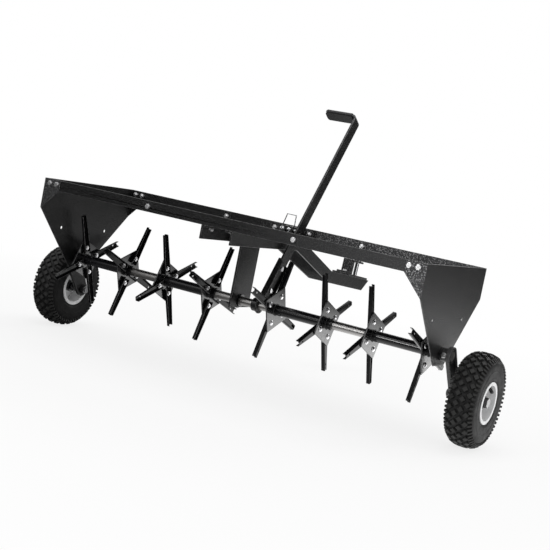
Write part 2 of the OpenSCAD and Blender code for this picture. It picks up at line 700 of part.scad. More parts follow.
// Lever: its frame starts on the shaft's axis, with +Z up along the bar
module lever_frame() translate([0, 0, shaft_z]) rotate([-lever_lean, 0, 0]) children();
module lever_bolt_spots() {
    for (s = [lever_bolt_low, lever_bolt_high]) lever_frame()
        translate([lever_x + lever_t / 2, 0, s]) rotate([0, -90, 0]) children();
}
module lever_bracket() color(powder) placed() difference() {
    half = lever_w / 2 + fit_clear + bracket_t;
    web_x = lever_x - lever_t / 2 - bracket_t;
    nose = bracket_flange - bracket_t;
    lever_frame() {
        translate([web_x, 0, 0]) side_sheet(bracket_t) {
            circle(half);
            translate([-half, 0]) square([2 * half, bracket_len]);
        }
        for (s = [-half, half - bracket_t]) translate([web_x, s, 0]) rear_sheet(bracket_t) {
            square([bracket_flange, bracket_len - nose]);
            square([bracket_t, bracket_len]);
            translate([bracket_t, bracket_len - nose]) intersection() {
                circle(nose);
                square(nose);
            }
        }
    }
    translate([web_x - cut, 0, shaft_z]) along_x()
        cylinder(h = bracket_t + 2 * cut, d = shaft_d + 2 * fit_clear);
    lever_bolt_spots() cylinder(h = lever_t + bracket_t + cut, d = bolt_hole_d);
}
module lever_bar() color(powder) placed() difference() {
    bend_s = lever_len - lever_bend_r - lever_t;
    arm_len = grip_len + 4;
    lever_frame() {
        translate([lever_x - lever_t / 2, -lever_w / 2, lever_foot])
            cube([lever_t, lever_w, bend_s - lever_foot]);
        translate([lever_x - lever_t / 2 - lever_bend_r, 0, bend_s]) rotate([90, 0, 0])
            rotate_extrude(angle = 90) translate([lever_bend_r, -lever_w / 2]) square([lever_t, lever_w]);
        translate([lever_x - lever_t / 2 - lever_bend_r - arm_len, -lever_w / 2, lever_len - lever_t])
            cube([arm_len, lever_w, lever_t]);
    }
    lever_bolt_spots() translate([0, 0, -cut]) cylinder(h = lever_t + 2 * cut, d = bolt_hole_d);
    lever_frame() translate([lever_x - lever_t, 0, lock_s]) along_x()
        cylinder(h = 2 * lever_t, d = lock_pin_d + 2 * turn_gap);
}
module lever_grip() color("#232325") placed() lever_frame() {
    half = lever_w / 2 + grip_wall;
    start = lever_x - lever_t / 2 - lever_bend_r - 2;
    thick = lever_t + 2 * grip_wall;
    end_r = 14;
    cap = 4;
    translate([start - grip_len - cap, 0, lever_len - lever_t - grip_wall]) difference() {
        intersection() {
            translate([0, -half, 0]) rotate([90, 0, 90]) linear_extrude(grip_len + cap)
                round_rect([2 * half, thick], 5);
            translate([0, -half, -cut]) linear_extrude(thick + 2 * cut) union() {
                round_rect([grip_len, 2 * half], end_r);
                translate([grip_len / 2, 0]) square([grip_len / 2 + cap, 2 * half]);
            }
        }
        translate([cap - 2 - fit_clear, -lever_w / 2 - fit_clear, grip_wall - fit_clear])
            cube([grip_len + cap, lever_w + 2 * fit_clear, lever_t + 2 * fit_clear]);
    }
}
module lever_bolts() color(zinc) placed() lever_bolt_spots() bolt(lever_t + bracket_t);

// Wheel arm, right-hand: a pressed link with a raised rim, on a boss that is bolted to the shaft
module wheel_arm_right() difference() {
    axle = [arm_fwd, axle_z];
    top = [0, shaft_z];
    union() {
        translate([arm_web_x, 0, 0]) {
            side_sheet(arm_t) link_outline(top, arm_top_r, axle, arm_low_r);
            side_sheet(arm_rim) difference() {
                link_outline(top, arm_top_r, axle, arm_low_r);
                link_outline(top, arm_top_r - arm_t, axle, arm_low_r - arm_t);
            }
        }
        translate([arm_x, 0, shaft_z]) along_x() cylinder(h = boss_len, d = boss_od);
    }
    translate([arm_x - cut, 0, shaft_z]) along_x()
        cylinder(h = boss_len + 2 * cut, d = shaft_d + 2 * fit_clear);
    translate([arm_web_x - cut, arm_fwd, axle_z]) along_x()
        cylinder(h = arm_t + 2 * cut, d = axle_d + 2 * fit_clear);
    arm_bolt_spot() cylinder(h = boss_od + 2 * cut, d = bolt_hole_d, center = true);
}
module arm_bolt_spot() translate([arm_x + boss_in / 2, 0, shaft_z]) along_y() children();
module left_wheel_arm() color(powder) placed() mirror([1, 0, 0]) wheel_arm_right();
module right_wheel_arm() color(powder) placed() wheel_arm_right();
module arm_bolts() color(zinc) placed() both_sides()
    arm_bolt_spot() translate([0, 0, -boss_od / 2]) bolt(boss_od);

// Axle bolt, right-hand: head outside the wheel, nut inside the arm
wheel_x = tray_len / 2 + wheel_out;
hub_in = wheel_x - hub_len / 2;
hub_out = wheel_x + hub_len / 2;
axle_af = axle_d * 1.5;
axle_head = axle_d * 0.62;
axle_nut = axle_d * 0.8;
washer_t = 3;
module axle_spot(x) translate([x, arm_fwd, axle_z]) along_x() children();
module axle_bolt_right() {
    outer = hub_out + turn_gap + washer_t;
    axle_spot(outer) cylinder(h = axle_head, d = axle_af / cos(30), $fn = 6);
    axle_spot(arm_web_x - axle_nut - bolt_tail)
        cylinder(h = outer - arm_web_x + axle_nut + bolt_tail, d = axle_d);
    axle_spot(arm_web_x - axle_nut) cylinder(h = axle_nut, d = axle_af / cos(30), $fn = 6);
}
module left_axle_bolt() color(zinc) placed() mirror([1, 0, 0]) axle_bolt_right();
module right_axle_bolt() color(zinc) placed() axle_bolt_right();
module axle_spacers() color(zinc) placed() both_sides() axle_spot(arm_web_x + arm_t) difference() {
    len = hub_in - turn_gap - arm_web_x - arm_t;
    cylinder(h = len, d = axle_d + 10);
    translate([0, 0, -cut]) cylinder(h = len + 2 * cut, d = axle_d + 2 * fit_clear);
}
module axle_washers() color(zinc) placed() both_sides() axle_spot(hub_out + turn_gap) difference() {
    cylinder(h = washer_t, d = axle_d * 2);
    translate([0, 0, -cut]) cylinder(h = washer_t + 2 * cut, d = axle_d + 2 * fit_clear);
}

// Wheel, right-hand: a hollow tyre on a dished rim that is welded to its hub
module wheel_frame() translate([wheel_x, arm_fwd, axle_z]) along_x() children();
tyre_r = tyre_d / 2;
seat_w = rim_w - 2 * fit_clear;
tread_rows = 4;
tread_sink = 1;
tread_len = tyre_r * PI / tread_count;
row_w = (tyre_w - (tread_rows - 1) * groove_w) / tread_rows;
function row_start(n) = -tyre_w / 2 + n * (row_w + groove_w);
bead_top = rim_seat_r + rim_flange_h + 5;
module tyre_section(inset, bead_inset) {
    translate([bead_top + inset, -tyre_w / 2 + inset])
        round_rect([tyre_r - bead_top - 2 * inset, tyre_w - 2 * inset], tyre_round - inset);
    translate([rim_seat_r + fit_clear - bead_inset, -seat_w / 2 + bead_inset])
        square([bead_top - rim_seat_r + tyre_round, seat_w - 2 * bead_inset]);
}
// Tread blocks: rings of blocks in the middle rows and separate lugs round both shoulders
function row_turn(n) = n % 2 == 0 ? 0 : 180 / tread_count;
module round_the_tyre() for (k = [0:tread_count - 1]) rotate(k * 360 / tread_count) children();
module block_row(n) translate([0, 0, row_start(n)]) linear_extrude(row_w) rotate(row_turn(n)) difference() {
    circle(tyre_r, $fn = 96);
    round_the_tyre() translate([tyre_r - tread_h, -tread_len / 2]) square([2 * tread_h, tread_len]);
    circle(tyre_r - tread_h - tread_sink, $fn = 96);
}
module lug_row(n) intersection() {
    rotate_extrude($fn = 96) difference() {
        tyre_section(0, 0);
        tyre_section(tread_h + tread_sink, 0);
    }
    translate([0, 0, row_start(n)]) linear_extrude(row_w) rotate(row_turn(n + 1))
        round_the_tyre() translate([tyre_r - lug_drop, -tread_len / 2]) square([lug_drop, tread_len]);
}
module tyre_right() wheel_frame() {
    rotate_extrude($fn = 96) difference() {
        tyre_section(tread_h, 0);
        tyre_section(tread_h + tyre_wall, tyre_wall);
    }
    for (n = [1:tread_rows - 2]) block_row(n);
    for (n = [0, tread_rows - 1]) lug_row(n);
}
module left_tyre() color(rubber) placed() mirror([1, 0, 0]) tyre_right();
module right_tyre() color(rubber) placed() tyre_right();
module rim_right() wheel_frame() difference() {
    rotate_extrude($fn = 96) {
        translate([rim_seat_r - rim_t, -rim_w / 2 - rim_t]) square([rim_t, rim_w + 2 * rim_t]);
        for (y = [-rim_w / 2 - rim_t, rim_w / 2]) translate([rim_seat_r - rim_t, y])
            square([rim_t + rim_flange_h, rim_t]);
        polygon([
            [hub_od / 2 + fit_clear, -2 * rim_t], [rim_seat_r - rim_t, 2 * rim_t],
            [rim_seat_r - rim_t, 4 * rim_t], [hub_od / 2 + fit_clear, 0]
        ]);
    }
    valve_place() cylinder(h = 60, d = valve_d + 2 * fit_clear, center = true);
}
module left_rim() color(white) placed() mirror([1, 0, 0]) rim_right();
module right_rim() color(white) placed() rim_right();
module hub_right() wheel_frame() difference() {
    cylinder(h = hub_len, d = hub_od, center = true);
    cylinder(h = hub_len + 2 * cut, d = axle_d + 2 * run_clear, center = true);
}
module left_hub() color(zinc) placed() mirror([1, 0, 0]) hub_right();
module right_hub() color(zinc) placed() hub_right();
// The valve leaves the bead seat at a slant, towards the outside of the wheel
module valve_place() rotate([0, 0, 150]) translate([rim_seat_r - rim_t / 2, 0, rim_w / 4])
    rotate([0, -45, 0]) children();
module valve_right() wheel_frame() valve_place() {
    translate([0, 0, -rim_t * 1.5]) cylinder(h = valve_len, d = valve_d);
    translate([0, 0, valve_len - rim_t * 1.5]) cylinder(h = valve_d, d = valve_d - 1);
}
module left_valve() color(rubber) placed() mirror([1, 0, 0]) valve_right();
module right_valve() color(rubber) placed() valve_right();

// Tine: a tapered spoon along +Z, folded as a channel with its back on the spider at y = 0
tine_len = tine_tip_r - tine_root_r;
tine_taper = atan((tine_root_w - tine_tip_w) / 2 / tine_len);
module channel_half_outline(inset) {
    r = tine_round - inset;
    half = tine_root_w / 2 - inset;
    translate([half - r, tine_round]) circle(r);
    translate([-half, inset]) square([2 * half - r, tine_h]);
    translate([-half, tine_round]) square([2 * half, tine_h]);
}
module tine_half() intersection() {
    rotate([0, -tine_taper, 0]) translate([0, 0, -tine_h]) linear_extrude(tine_len + 2 * tine_h) difference() {
        channel_half_outline(0);
        channel_half_outline(tine_t);
    }
    translate([0, tine_h, 0]) rotate([90, 0, 0]) linear_extrude(tine_h) {
        square([tine_root_w, tine_len - tine_tip_round]);
        square([tine_tip_w / 2 - tine_tip_round, tine_len]);
        translate([tine_tip_w / 2 - tine_tip_round, tine_len - tine_tip_round]) circle(tine_tip_round);
    }
}
module tine() difference() {
    union() {
        tine_half();
        mirror([1, 0, 0]) tine_half();
    }
    translate([0, -cut, tine_bolt_r - tine_root_r]) rotate([-90, 0, 0]) cylinder(h = tine_h, d = bolt_hole_d);
    translate([0, -cut, tine_len - tine_hole_in]) rotate([-90, 0, 0]) cylinder(h = tine_h, d = tine_hole_d);
    translate([0, -cut, tine_len]) rotate([-90, 0, 0]) cylinder(h = tine_h, r = tine_notch_r);
}

// Reel n on the right-hand side: 0 is the inner one; each spider carries its tines on its inboard face
function reel_phase(n, k) = spider_phase * ((n + k) % 2 == 0 ? -1 : 1);
module on_spider(n, k) translate([reel_x + n * reel_pitch + k * spider_gap, 0, shaft_z])
    rotate([reel_phase(n, k), 0, 0]) children();
module each_tine(n) for (k = [0, 1], q = [0:3])
    on_spider(n, k) rotate([90 * q, 0, 0]) children();
module reel_right(n) difference() {
    union() {
        translate([reel_start(n), 0, shaft_z]) along_x()
            cylinder(h = reel_stop(n) - reel_start(n), d = tube_od);
        for (k = [0, 1]) on_spider(n, k) translate([-spider_t / 2, 0, 0]) side_sheet(spider_t)
            intersection() {
                rotate(45) square(spider_side, center = true);
                circle(spider_trim_r);
            }
    }
    translate([reel_start(n) - cut, 0, shaft_z]) along_x()
        cylinder(h = reel_stop(n) - reel_start(n) + 2 * cut, d = tube_id);
    each_tine(n) translate([0, 0, tine_bolt_r]) along_x()
        cylinder(h = 2 * spider_t, d = bolt_hole_d, center = true);
}
module tines_right(n) each_tine(n) translate([-spider_root, 0, tine_root_r]) rotate([0, 0, 90]) tine();
module tine_bolts_right(n) each_tine(n) translate([spider_t / 2, 0, tine_bolt_r]) rotate([0, -90, 0])
    carriage_bolt(spider_t + tine_t);

// The outer left reel stands rolled on from the others
module rolled() translate([0, 0, shaft_z]) rotate([reel_roll, 0, 0]) translate([0, 0, -shaft_z]) children();
module outer_left_reel() color(gloss) placed() mirror([1, 0, 0]) rolled() reel_right(1);
module outer_left_tines() color(gloss) placed() mirror([1, 0, 0]) rolled() tines_right(1);
module outer_left_tine_bolts() color(zinc) placed() mirror([1, 0, 0]) rolled() tine_bolts_right(1);
module inner_left_reel() color(gloss) placed() mirror([1, 0, 0]) reel_right(0);
module inner_left_tines() color(gloss) placed() mirror([1, 0, 0]) tines_right(0);
module inner_left_tine_bolts() color(zinc) placed() mirror([1, 0, 0]) tine_bolts_right(0);
module inner_right_reel() color(gloss) placed() reel_right(0);
module inner_right_tines() color(gloss) placed() tines_right(0);
module inner_right_tine_bolts() color(zinc) placed() tine_bolts_right(0);
module outer_right_reel() color(gloss) placed() reel_right(1);
module outer_right_tines() color(gloss) placed() tines_right(1);
module outer_right_tine_bolts() color(zinc) placed() tine_bolts_right(1);

tray();
cross_braces();
left_end_plate();
right_end_plate();
left_end_bush();
right_end_bush();
centre_hanger();
hanger_bush();
left_tongue_bar();
right_tongue_bar();
hitch_saddle();
hitch_strap();
lock_bracket();
corner_bolts();
brace_bolts();
lock_bracket_bolts();
tongue_bolts();
hanger_bolts();
hitch_bolts();
hitch_pin();
lock_pin();
lock_spring();
lock_bail();
lift_shaft();
reel_collars();
lever_collar();
lever_bracket();
lever_bar();
lever_grip();
lever_bolts();
left_wheel_arm();
right_wheel_arm();
arm_bolts();
axle_spacers();
axle_washers();
left_axle_bolt();
right_axle_bolt();
left_tyre();
left_rim();
left_hub();
left_valve();
right_tyre();
right_rim();
right_hub();
right_valve();
outer_left_reel();
outer_left_tines();
outer_left_tine_bolts();
inner_left_reel();
inner_left_tines();
inner_left_tine_bolts();
inner_right_reel();
inner_right_tines();
inner_right_tine_bolts();
outer_right_reel();
outer_right_tines();
outer_right_tine_bolts();
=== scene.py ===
# %% [markdown]
# # A tow-behind plug aerator, dressed
# The machine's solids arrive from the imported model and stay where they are. This lesson gives them their
# finishes, swaps the plain tyres and fasteners for detailed ones, and sets up the studio. All sizes are in
# metres, with +Z up and +Y towards the tow vehicle.

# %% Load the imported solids
import json
import math

import bmesh
import bpy
from mathutils import Matrix, Vector

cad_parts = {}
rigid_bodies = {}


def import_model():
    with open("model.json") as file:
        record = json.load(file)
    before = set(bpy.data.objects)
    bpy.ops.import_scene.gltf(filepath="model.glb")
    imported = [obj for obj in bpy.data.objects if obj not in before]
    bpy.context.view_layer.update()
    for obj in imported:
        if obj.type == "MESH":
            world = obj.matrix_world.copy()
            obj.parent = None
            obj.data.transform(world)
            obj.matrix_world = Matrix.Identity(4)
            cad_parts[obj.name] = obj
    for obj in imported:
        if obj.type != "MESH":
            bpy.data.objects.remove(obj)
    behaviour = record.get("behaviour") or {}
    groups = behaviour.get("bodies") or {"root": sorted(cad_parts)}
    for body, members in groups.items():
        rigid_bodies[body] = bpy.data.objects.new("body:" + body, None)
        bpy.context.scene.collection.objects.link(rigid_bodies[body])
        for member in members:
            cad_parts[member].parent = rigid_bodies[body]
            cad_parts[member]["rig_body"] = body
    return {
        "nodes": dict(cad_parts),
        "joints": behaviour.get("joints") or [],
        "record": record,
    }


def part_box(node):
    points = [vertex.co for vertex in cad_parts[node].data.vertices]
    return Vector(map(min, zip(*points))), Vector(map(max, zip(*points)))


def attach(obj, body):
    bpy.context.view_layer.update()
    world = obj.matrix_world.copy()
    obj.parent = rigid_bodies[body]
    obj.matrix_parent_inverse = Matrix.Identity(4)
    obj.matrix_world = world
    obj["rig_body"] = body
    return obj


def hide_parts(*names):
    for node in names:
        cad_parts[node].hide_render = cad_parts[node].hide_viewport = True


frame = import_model()
nodes = frame["nodes"]
joints = {joint["name"]: joint for joint in frame["joints"]}
body_of_node = {name: solid["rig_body"] for name, solid in nodes.items()}
slot_of_node = {part["node"]: part["material_slot"] for part in frame["record"]["subparts"]}
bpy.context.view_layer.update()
scene = bpy.context.scene
scene.view_settings.view_transform = "Standard"
MM = 0.001

# %% [markdown]
# ## The camera
# The picture was taken from behind the machine, to its right and a little above the tray, with the camera
# rolled. A Track To constraint could aim a camera, but it would leave out the roll. So the camera's own three
# axes are built from yaw, pitch and roll and put into the columns of its matrix.

# %% The camera
CAMERA_AT = Vector((1.6603, -3.0960, 0.6082))
CAMERA_YAW = math.radians(29.08)
CAMERA_PITCH = math.radians(4.96)
CAMERA_ROLL = math.radians(11.22)
CAMERA_LENS_MM = 76.4
SENSOR_MM = 36


def place_camera():
    level = Vector((-math.sin(CAMERA_YAW), math.cos(CAMERA_YAW), 0))
    forward = level * math.cos(CAMERA_PITCH) - Vector((0, 0, math.sin(CAMERA_PITCH)))
    right = Vector((math.cos(CAMERA_YAW), math.sin(CAMERA_YAW), 0))
    up = right.cross(forward)
    across = right * math.cos(CAMERA_ROLL) + up * math.sin(CAMERA_ROLL)
    upright = up * math.cos(CAMERA_ROLL) - right * math.sin(CAMERA_ROLL)
    lens = bpy.data.cameras.new("camera")
    lens.sensor_width = SENSOR_MM
    lens.lens = CAMERA_LENS_MM
    camera = bpy.data.objects.new("camera", lens)
    turned = Matrix((across, upright, -forward)).transposed().to_4x4()
    camera.matrix_world = Matrix.Translation(CAMERA_AT) @ turned
    scene.collection.objects.link(camera)
    scene.camera = camera
    return forward


view_forward = place_camera()
print(f"camera looks along {tuple(round(v, 3) for v in view_forward)}")

# %% [markdown]
# ## Wires between nodes
# Shaders and Geometry Nodes are both trees of nodes that are joined by wires. Every Math node could be added
# and linked by hand, but then a mask of three terms takes ten lines. This class wraps an output socket
# instead, so that masks and heights are written as sums and each sum adds its own nodes.


# %% Wires between nodes
class Wire:
    """An output socket that can be added, subtracted, multiplied, divided and compared."""

    def __init__(self, bench, socket):
        self.bench = bench
        self.socket = socket

    def out(self, name):
        return Wire(self.bench, self.socket.node.outputs[name])

    def combine(self, operation, left, right):
        return self.bench.node("ShaderNodeMath", {0: left, 1: right}, operation=operation)

    def __add__(self, other):
        return self.combine("ADD", self, other)

    def __sub__(self, other):
        return self.combine("SUBTRACT", self, other)

    def __rsub__(self, other):
        return self.combine("SUBTRACT", other, self)

    def __mul__(self, other):
        return self.combine("MULTIPLY", self, other)

    def __truediv__(self, other):
        return self.combine("DIVIDE", self, other)

    def __rtruediv__(self, other):
        return self.combine("DIVIDE", other, self)

    def __gt__(self, other):
        return self.combine("GREATER_THAN", self, other)

    def __lt__(self, other):
        return self.combine("LESS_THAN", self, other)

    __radd__ = __add__
    __rmul__ = __mul__


print("wires ready")

# %% [markdown]
# ## A small workbench for nodes
# One method adds any node with its sockets and its settings, and a few short ones stand for the kinds that
# nearly every finish needs. A function for each kind of node would do as well, but there are dozens of kinds.
# The Mix node has a pair of inputs for each kind of data, all with the same names, so its colours are found
# by number.

# %% A small workbench for nodes
MIX_FACTOR, MIX_ONE, MIX_OTHER, MIX_RESULT = 0, 6, 7, 2


class Bench:
    """A node tree and the methods that add nodes to it."""

    def __init__(self, tree):
        self.tree = tree
        self.tree.nodes.clear()

    def node(self, kind, sockets=None, out=0, **settings):
        """Sets a new node's settings, then fills its sockets with values, wires or a list of wires."""
        made = self.tree.nodes.new(kind)
        for name, value in settings.items():
            setattr(made, name, value)
        for name, value in (sockets or {}).items():
            for one in value if isinstance(value, list) else [value]:
                if isinstance(one, Wire):
                    self.tree.links.new(one.socket, made.inputs[name])
                else:
                    made.inputs[name].default_value = one
        return Wire(self, made.outputs[out]) if made.outputs else made

    def noise(self, place, per_metre, detail=2.0, stretch=None):
        if stretch:
            place = self.node("ShaderNodeMapping", {"Vector": place, "Scale": stretch})
        return self.node("ShaderNodeTexNoise", {"Vector": place, "Scale": per_metre, "Detail": detail})

    def ramp(self, value, low, high, to_low=0.0, to_high=1.0):
        ends = {"From Min": low, "From Max": high, "To Min": to_low, "To Max": to_high}
        return self.node("ShaderNodeMapRange", {"Value": value, **ends})

    def mix(self, factor, one, other):
        ends = [end if isinstance(end, Wire) else (*end, 1) for end in (one, other)]
        sockets = {MIX_FACTOR: factor, MIX_ONE: ends[0], MIX_OTHER: ends[1]}
        return self.node("ShaderNodeMix", sockets, out=MIX_RESULT, data_type="RGBA")

    def magnitude(self, value):
        return self.node("ShaderNodeMath", {0: value}, operation="ABSOLUTE")

    def distance(self, place, other):
        return self.node("ShaderNodeVectorMath", {0: place, 1: other}, out="Value", operation="DISTANCE")

    def parts(self, vector):
        return self.node("ShaderNodeSeparateXYZ", {0: vector})

    def bump(self, height, strength, distance):
        return self.node("ShaderNodeBump", {"Height": height, "Strength": strength, "Distance": distance})


print("workbench ready")

# %% [markdown]
# ## The sky
# A black machine is lit mostly by what it reflects. A picture of a studio could be wrapped round it, but a
# few nodes say more plainly what it sees: a sky that is bright overhead and dim at the horizon, so that black
# sheet which faces back stays dark. Dull surfaces get an even light, and camera rays see plain white.

# %% The sky
BACKGROUND = 1.0
AMBIENT = 0.54
SKY_SWEEP = (0.05, 0.65)
HORIZON_GLOW = 0.05


def light_world():
    world = bpy.data.worlds.new("studio")
    world.use_nodes = True
    bench = Bench(world.node_tree)
    path = bench.node("ShaderNodeLightPath")
    direction = bench.node("ShaderNodeTexCoord", out="Generated")
    sweep = bench.ramp(bench.parts(direction).out("Z"), *SKY_SWEEP, HORIZON_GLOW, BACKGROUND)
    camera = path.out("Is Camera Ray")
    shiny = path.combine("MAXIMUM", path.out("Is Glossy Ray"), path.out("Is Transmission Ray"))
    other = (1 - camera) * (1 - shiny)
    strength = camera * BACKGROUND + (1 - camera) * shiny * sweep + other * AMBIENT
    glow = bench.node("ShaderNodeBackground", {"Color": (1, 1, 1, 1), "Strength": strength})
    bench.node("ShaderNodeOutputWorld", {"Surface": glow})
    scene.world = world


light_world()
print(f"sky from {HORIZON_GLOW} at the horizon to {BACKGROUND} overhead")

# %% [markdown]
# ## The floor
# The floor has to melt into the white background and still hold the machine's shadow. A shadow catcher could
# do that, but shiny paint would then reflect no floor. So camera rays see a matt floor mixed with white, and
# more white further out. Shiny paint sees a bright pool at the front right, as if a sheet of white card lay
# there. It makes the end plates lighter towards their lower end and draws bright streaks on round tubes.

# %% The floor
FLOOR_HALF = 40.0
FLOOR_TONE = 0.86
FLOOR_GLOW = 0.80
FLOOR_CLEAR = (0.9, 2.4)
POOL_AT = (1.0, 0.7, 0)
FLOOR_NEAR = 2.8
FLOOR_FAR = 0.10
FLOOR_FADE = (0.2, 1.7)


def grey(level, blue=0.0):
    """A grey with a little more or less blue in it."""
    return level, level, level + blue


def lay_floor():
    mesh = bpy.data.meshes.new("floor")
    half = FLOOR_HALF
    corners = [(-half, -half, 0), (half, -half, 0), (half, half, 0), (-half, half, 0)]
    mesh.from_pydata(corners, [], [(0, 1, 2, 3)])
    floor = bpy.data.objects.new("floor", mesh)
    scene.collection.objects.link(floor)
    material = bpy.data.materials.new("floor")
    material.use_nodes = True
    bench = Bench(material.node_tree)
    path = bench.node("ShaderNodeLightPath")
    camera = path.out("Is Camera Ray")
    shiny = path.out("Is Glossy Ray")
    place = bench.node("ShaderNodeTexCoord", out="Object")
    away = bench.distance(place, (0, 0, 0))
    clear = bench.ramp(away, *FLOOR_CLEAR, FLOOR_GLOW, 1.0)
    pool = bench.ramp(bench.distance(place, POOL_AT), *FLOOR_FADE, FLOOR_NEAR, FLOOR_FAR)
    matt = bench.node("ShaderNodeBsdfDiffuse", {"Color": (*grey(FLOOR_TONE), 1)})
    strength = camera * BACKGROUND + (1 - camera) * pool
    glow = bench.node("ShaderNodeEmission", {"Color": (1, 1, 1, 1), "Strength": strength})
    share = camera * clear + (1 - camera) * shiny
    surface = bench.node("ShaderNodeMixShader", {0: share, 1: matt, 2: glow})
    bench.node("ShaderNodeOutputMaterial", {"Surface": surface})
    mesh.materials.append(material)


lay_floor()
print(f"floor {2 * FLOOR_HALF:.0f} m wide, pool at {POOL_AT}")

# %% [markdown]
# ## Soft boxes
# Point lamps would give hard shadows and sharp highlights. Large area lamps, as a studio's soft boxes are,
# give the long soft highlights of the picture. All of them are aimed at the middle of the machine.

# %% Soft boxes
SOFT_BOXES = {
    "key_box": ((-1.4, -3.4, 3.4), (2.2, 1.2), 14),
    "front_box": ((-0.9, -4.0, 0.9), (0.7, 0.7), 18),
    "right_box": ((3.9, -0.9, 1.0), (0.9, 2.2), 16),
    "top_box": ((0.2, -0.2, 3.4), (3.0, 1.0), 36),
    "rear_box": ((0.6, 3.3, 2.6), (3.2, 0.9), 38),
}
AIM = Vector((0.0, -0.1, 0.3))


def hang_soft_box(name, place, size, power):
    lamp = bpy.data.lights.new(name, "AREA")
    lamp.shape = "RECTANGLE"
    lamp.size = size[0]
    lamp.size_y = size[1]
    lamp.energy = power
    box = bpy.data.objects.new(name, lamp)
    box.location = place
    box.rotation_euler = (AIM - Vector(place)).to_track_quat("-Z", "Y").to_euler()
    scene.collection.objects.link(box)


for box_name, (box_place, box_size, box_power) in SOFT_BOXES.items():
    hang_soft_box(box_name, box_place, box_size, box_power)
print(f"{len(SOFT_BOXES)} soft boxes")

# %% [markdown]
# ## A blank finish
# Every finish starts as a Principled shader with a few fixed values, and its patterns are fed in afterwards.
# The patterns could follow an unwrapped map, but sheet, bar and bolts have no need of one: Object coordinates
# stay with the piece when it moves, and a noise in space has no seams.


# %% A blank finish
def finish(name, **fixed):
    """A new material with a Principled shader: its bench, its Object coordinates and a way to feed it."""
    material = bpy.data.materials.new(name)
    material.use_nodes = True
    bench = Bench(material.node_tree)
    place = bench.node("ShaderNodeTexCoord", out="Object")
    constants = {key.replace("_", " "): value for key, value in fixed.items()}
    shader = bench.node("ShaderNodeBsdfPrincipled", constants)
    bench.node("ShaderNodeOutputMaterial", {"Surface": shader})

    def feed(**sockets):
        for key, wire in sockets.items():
            bench.tree.links.new(wire.socket, shader.socket.node.inputs[key.replace("_", " ")])
        return material

    return bench, place, feed


print("blank finish ready")

# %% [markdown]
# ## Powder coat
# The sheet metal wears a powder coat with a fine grain: baked powder leaves small bumps that catch the light
# as specks. Bump alone could give the grain, but from a few steps away it would blur to an even grey, so the
# larger specks are in the colour too, as grain and painted glints. On faces turned to the back, on the end
# plates' ears and inside the tray, the specks are painted lighter, and walls turned to the back get a painted
# sheen towards the right, where a highlight falls. Most values of a noise lie in the span that is named
# first.

# %% Powder coat
NOISE_SPAN = (0.3, 0.7)
# Painted light on faces turned to the back: a sheen along X, and lighter specks that fade in past a place
# along Y.
TURNED_BACK = (-0.5, -0.9)
PAINTED_SHEEN_X = (0.05, 0.60)
LIT_SPECKS_FADE = 10 * MM
SPECK_EDGE = (0.55, 0.63)
SPECK_COVER = 0.5


def powder_coat(name, tone, lit_specks_from_y, lit_specks_along_x):
    """Powder coat with painted light on back-turned faces: lighter specks past a place along Y and growing
    along X.
    """
    bench, place, feed = finish(name, Specular_IOR_Level=0.30)
    facing = bench.node("ShaderNodeNewGeometry", out="True Normal")
    spot = bench.parts(place)
    past_y = bench.ramp(spot.out("Y"), lit_specks_from_y, lit_specks_from_y + LIT_SPECKS_FADE)
    backward = bench.ramp(bench.parts(facing).out("Y"), *TURNED_BACK)
    # Painted highlight: specks on faces turned to the back are lighter past a place along Y and towards the
    # right.
    painted_lit_specks = backward * past_y * bench.ramp(spot.out("X"), *lit_specks_along_x)
    # Painted sheen: faces turned to the back get lighter towards the right, where a highlight falls.
    painted_sheen = backward * bench.ramp(spot.out("X"), *PAINTED_SHEEN_X)
    grain = bench.noise(place, per_metre=1100)
    pebble = bench.noise(place, per_metre=330, detail=1.0)
    cloud = bench.noise(place, per_metre=9)
    plain = bench.mix(cloud, grey(tone), grey(tone * 2, tone * 0.1))
    sheened_base = bench.mix(painted_sheen, plain, grey(0.045, 0.001))
    base = bench.mix(painted_lit_specks, sheened_base, grey(0.045, 0.002))
    sheened_speck = bench.mix(painted_sheen, grey(0.04, 0.001), grey(0.10, 0.002))
    speck = bench.mix(painted_lit_specks, sheened_speck, grey(0.72, 0.01))
    # The lighter specks are grain and painted glints of the powder's bumps.
    colour = bench.mix(bench.ramp(pebble, *SPECK_EDGE) * SPECK_COVER, base, speck)
    rough = bench.ramp(grain, *NOISE_SPAN, 0.26, 0.40)
    normal = bench.bump(pebble + grain * 0.2, strength=0.7, distance=1.5 * MM)
    return feed(Base_Color=colour, Roughness=rough, Normal=normal)


finishes = {"powder_coat": powder_coat("powder_coat", tone=0.002, lit_specks_from_y=-0.1, lit_specks_along_x=(-0.15, 0.3))}
plate_finish = powder_coat("plate_coat", tone=0.005, lit_specks_from_y=-1.0, lit_specks_along_x=(-0.9, 0.5))
print("powder coat for the frame, and a lighter one for the end plates")

# %% [markdown]
# ## Enamel
# The reels are sprayed with smooth enamel, which a coat layer over black gives, and are scuffed dull in
# places. One black could serve for the tines too, but theirs is blacker and reflects less: painted shade, for
# the dark studio that they mirror. The tines are dipped, with slow runs. The rims are sprayed white and shine
# only a little, because a stronger shine would hide the shape of the dish. Soft patches are cut from a noise
# with the span named here.

# %% Enamel
PATCH_SPAN = (0.35, 0.7)


def gloss_black():
    bench, place, feed = finish("gloss_black", Specular_IOR_Level=0.5, Coat_Roughness=0.08)
    ripple = bench.noise(place, per_metre=190, detail=3.0)
    scuffs = bench.ramp(bench.noise(place, per_metre=60, detail=4.0, stretch=(1, 6, 6)), 0.56, 0.72)
    colour = bench.mix(scuffs, grey(0.006, 0.001), grey(0.016, 0.001))
    rough = bench.ramp(ripple, *NOISE_SPAN, 0.16, 0.26) + scuffs * 0.14
    coat = 0.5 - scuffs * 0.3
    normal = bench.bump(ripple, strength=0.04, distance=0.2 * MM)
    return feed(Base_Color=colour, Roughness=rough, Coat_Weight=coat, Normal=normal)


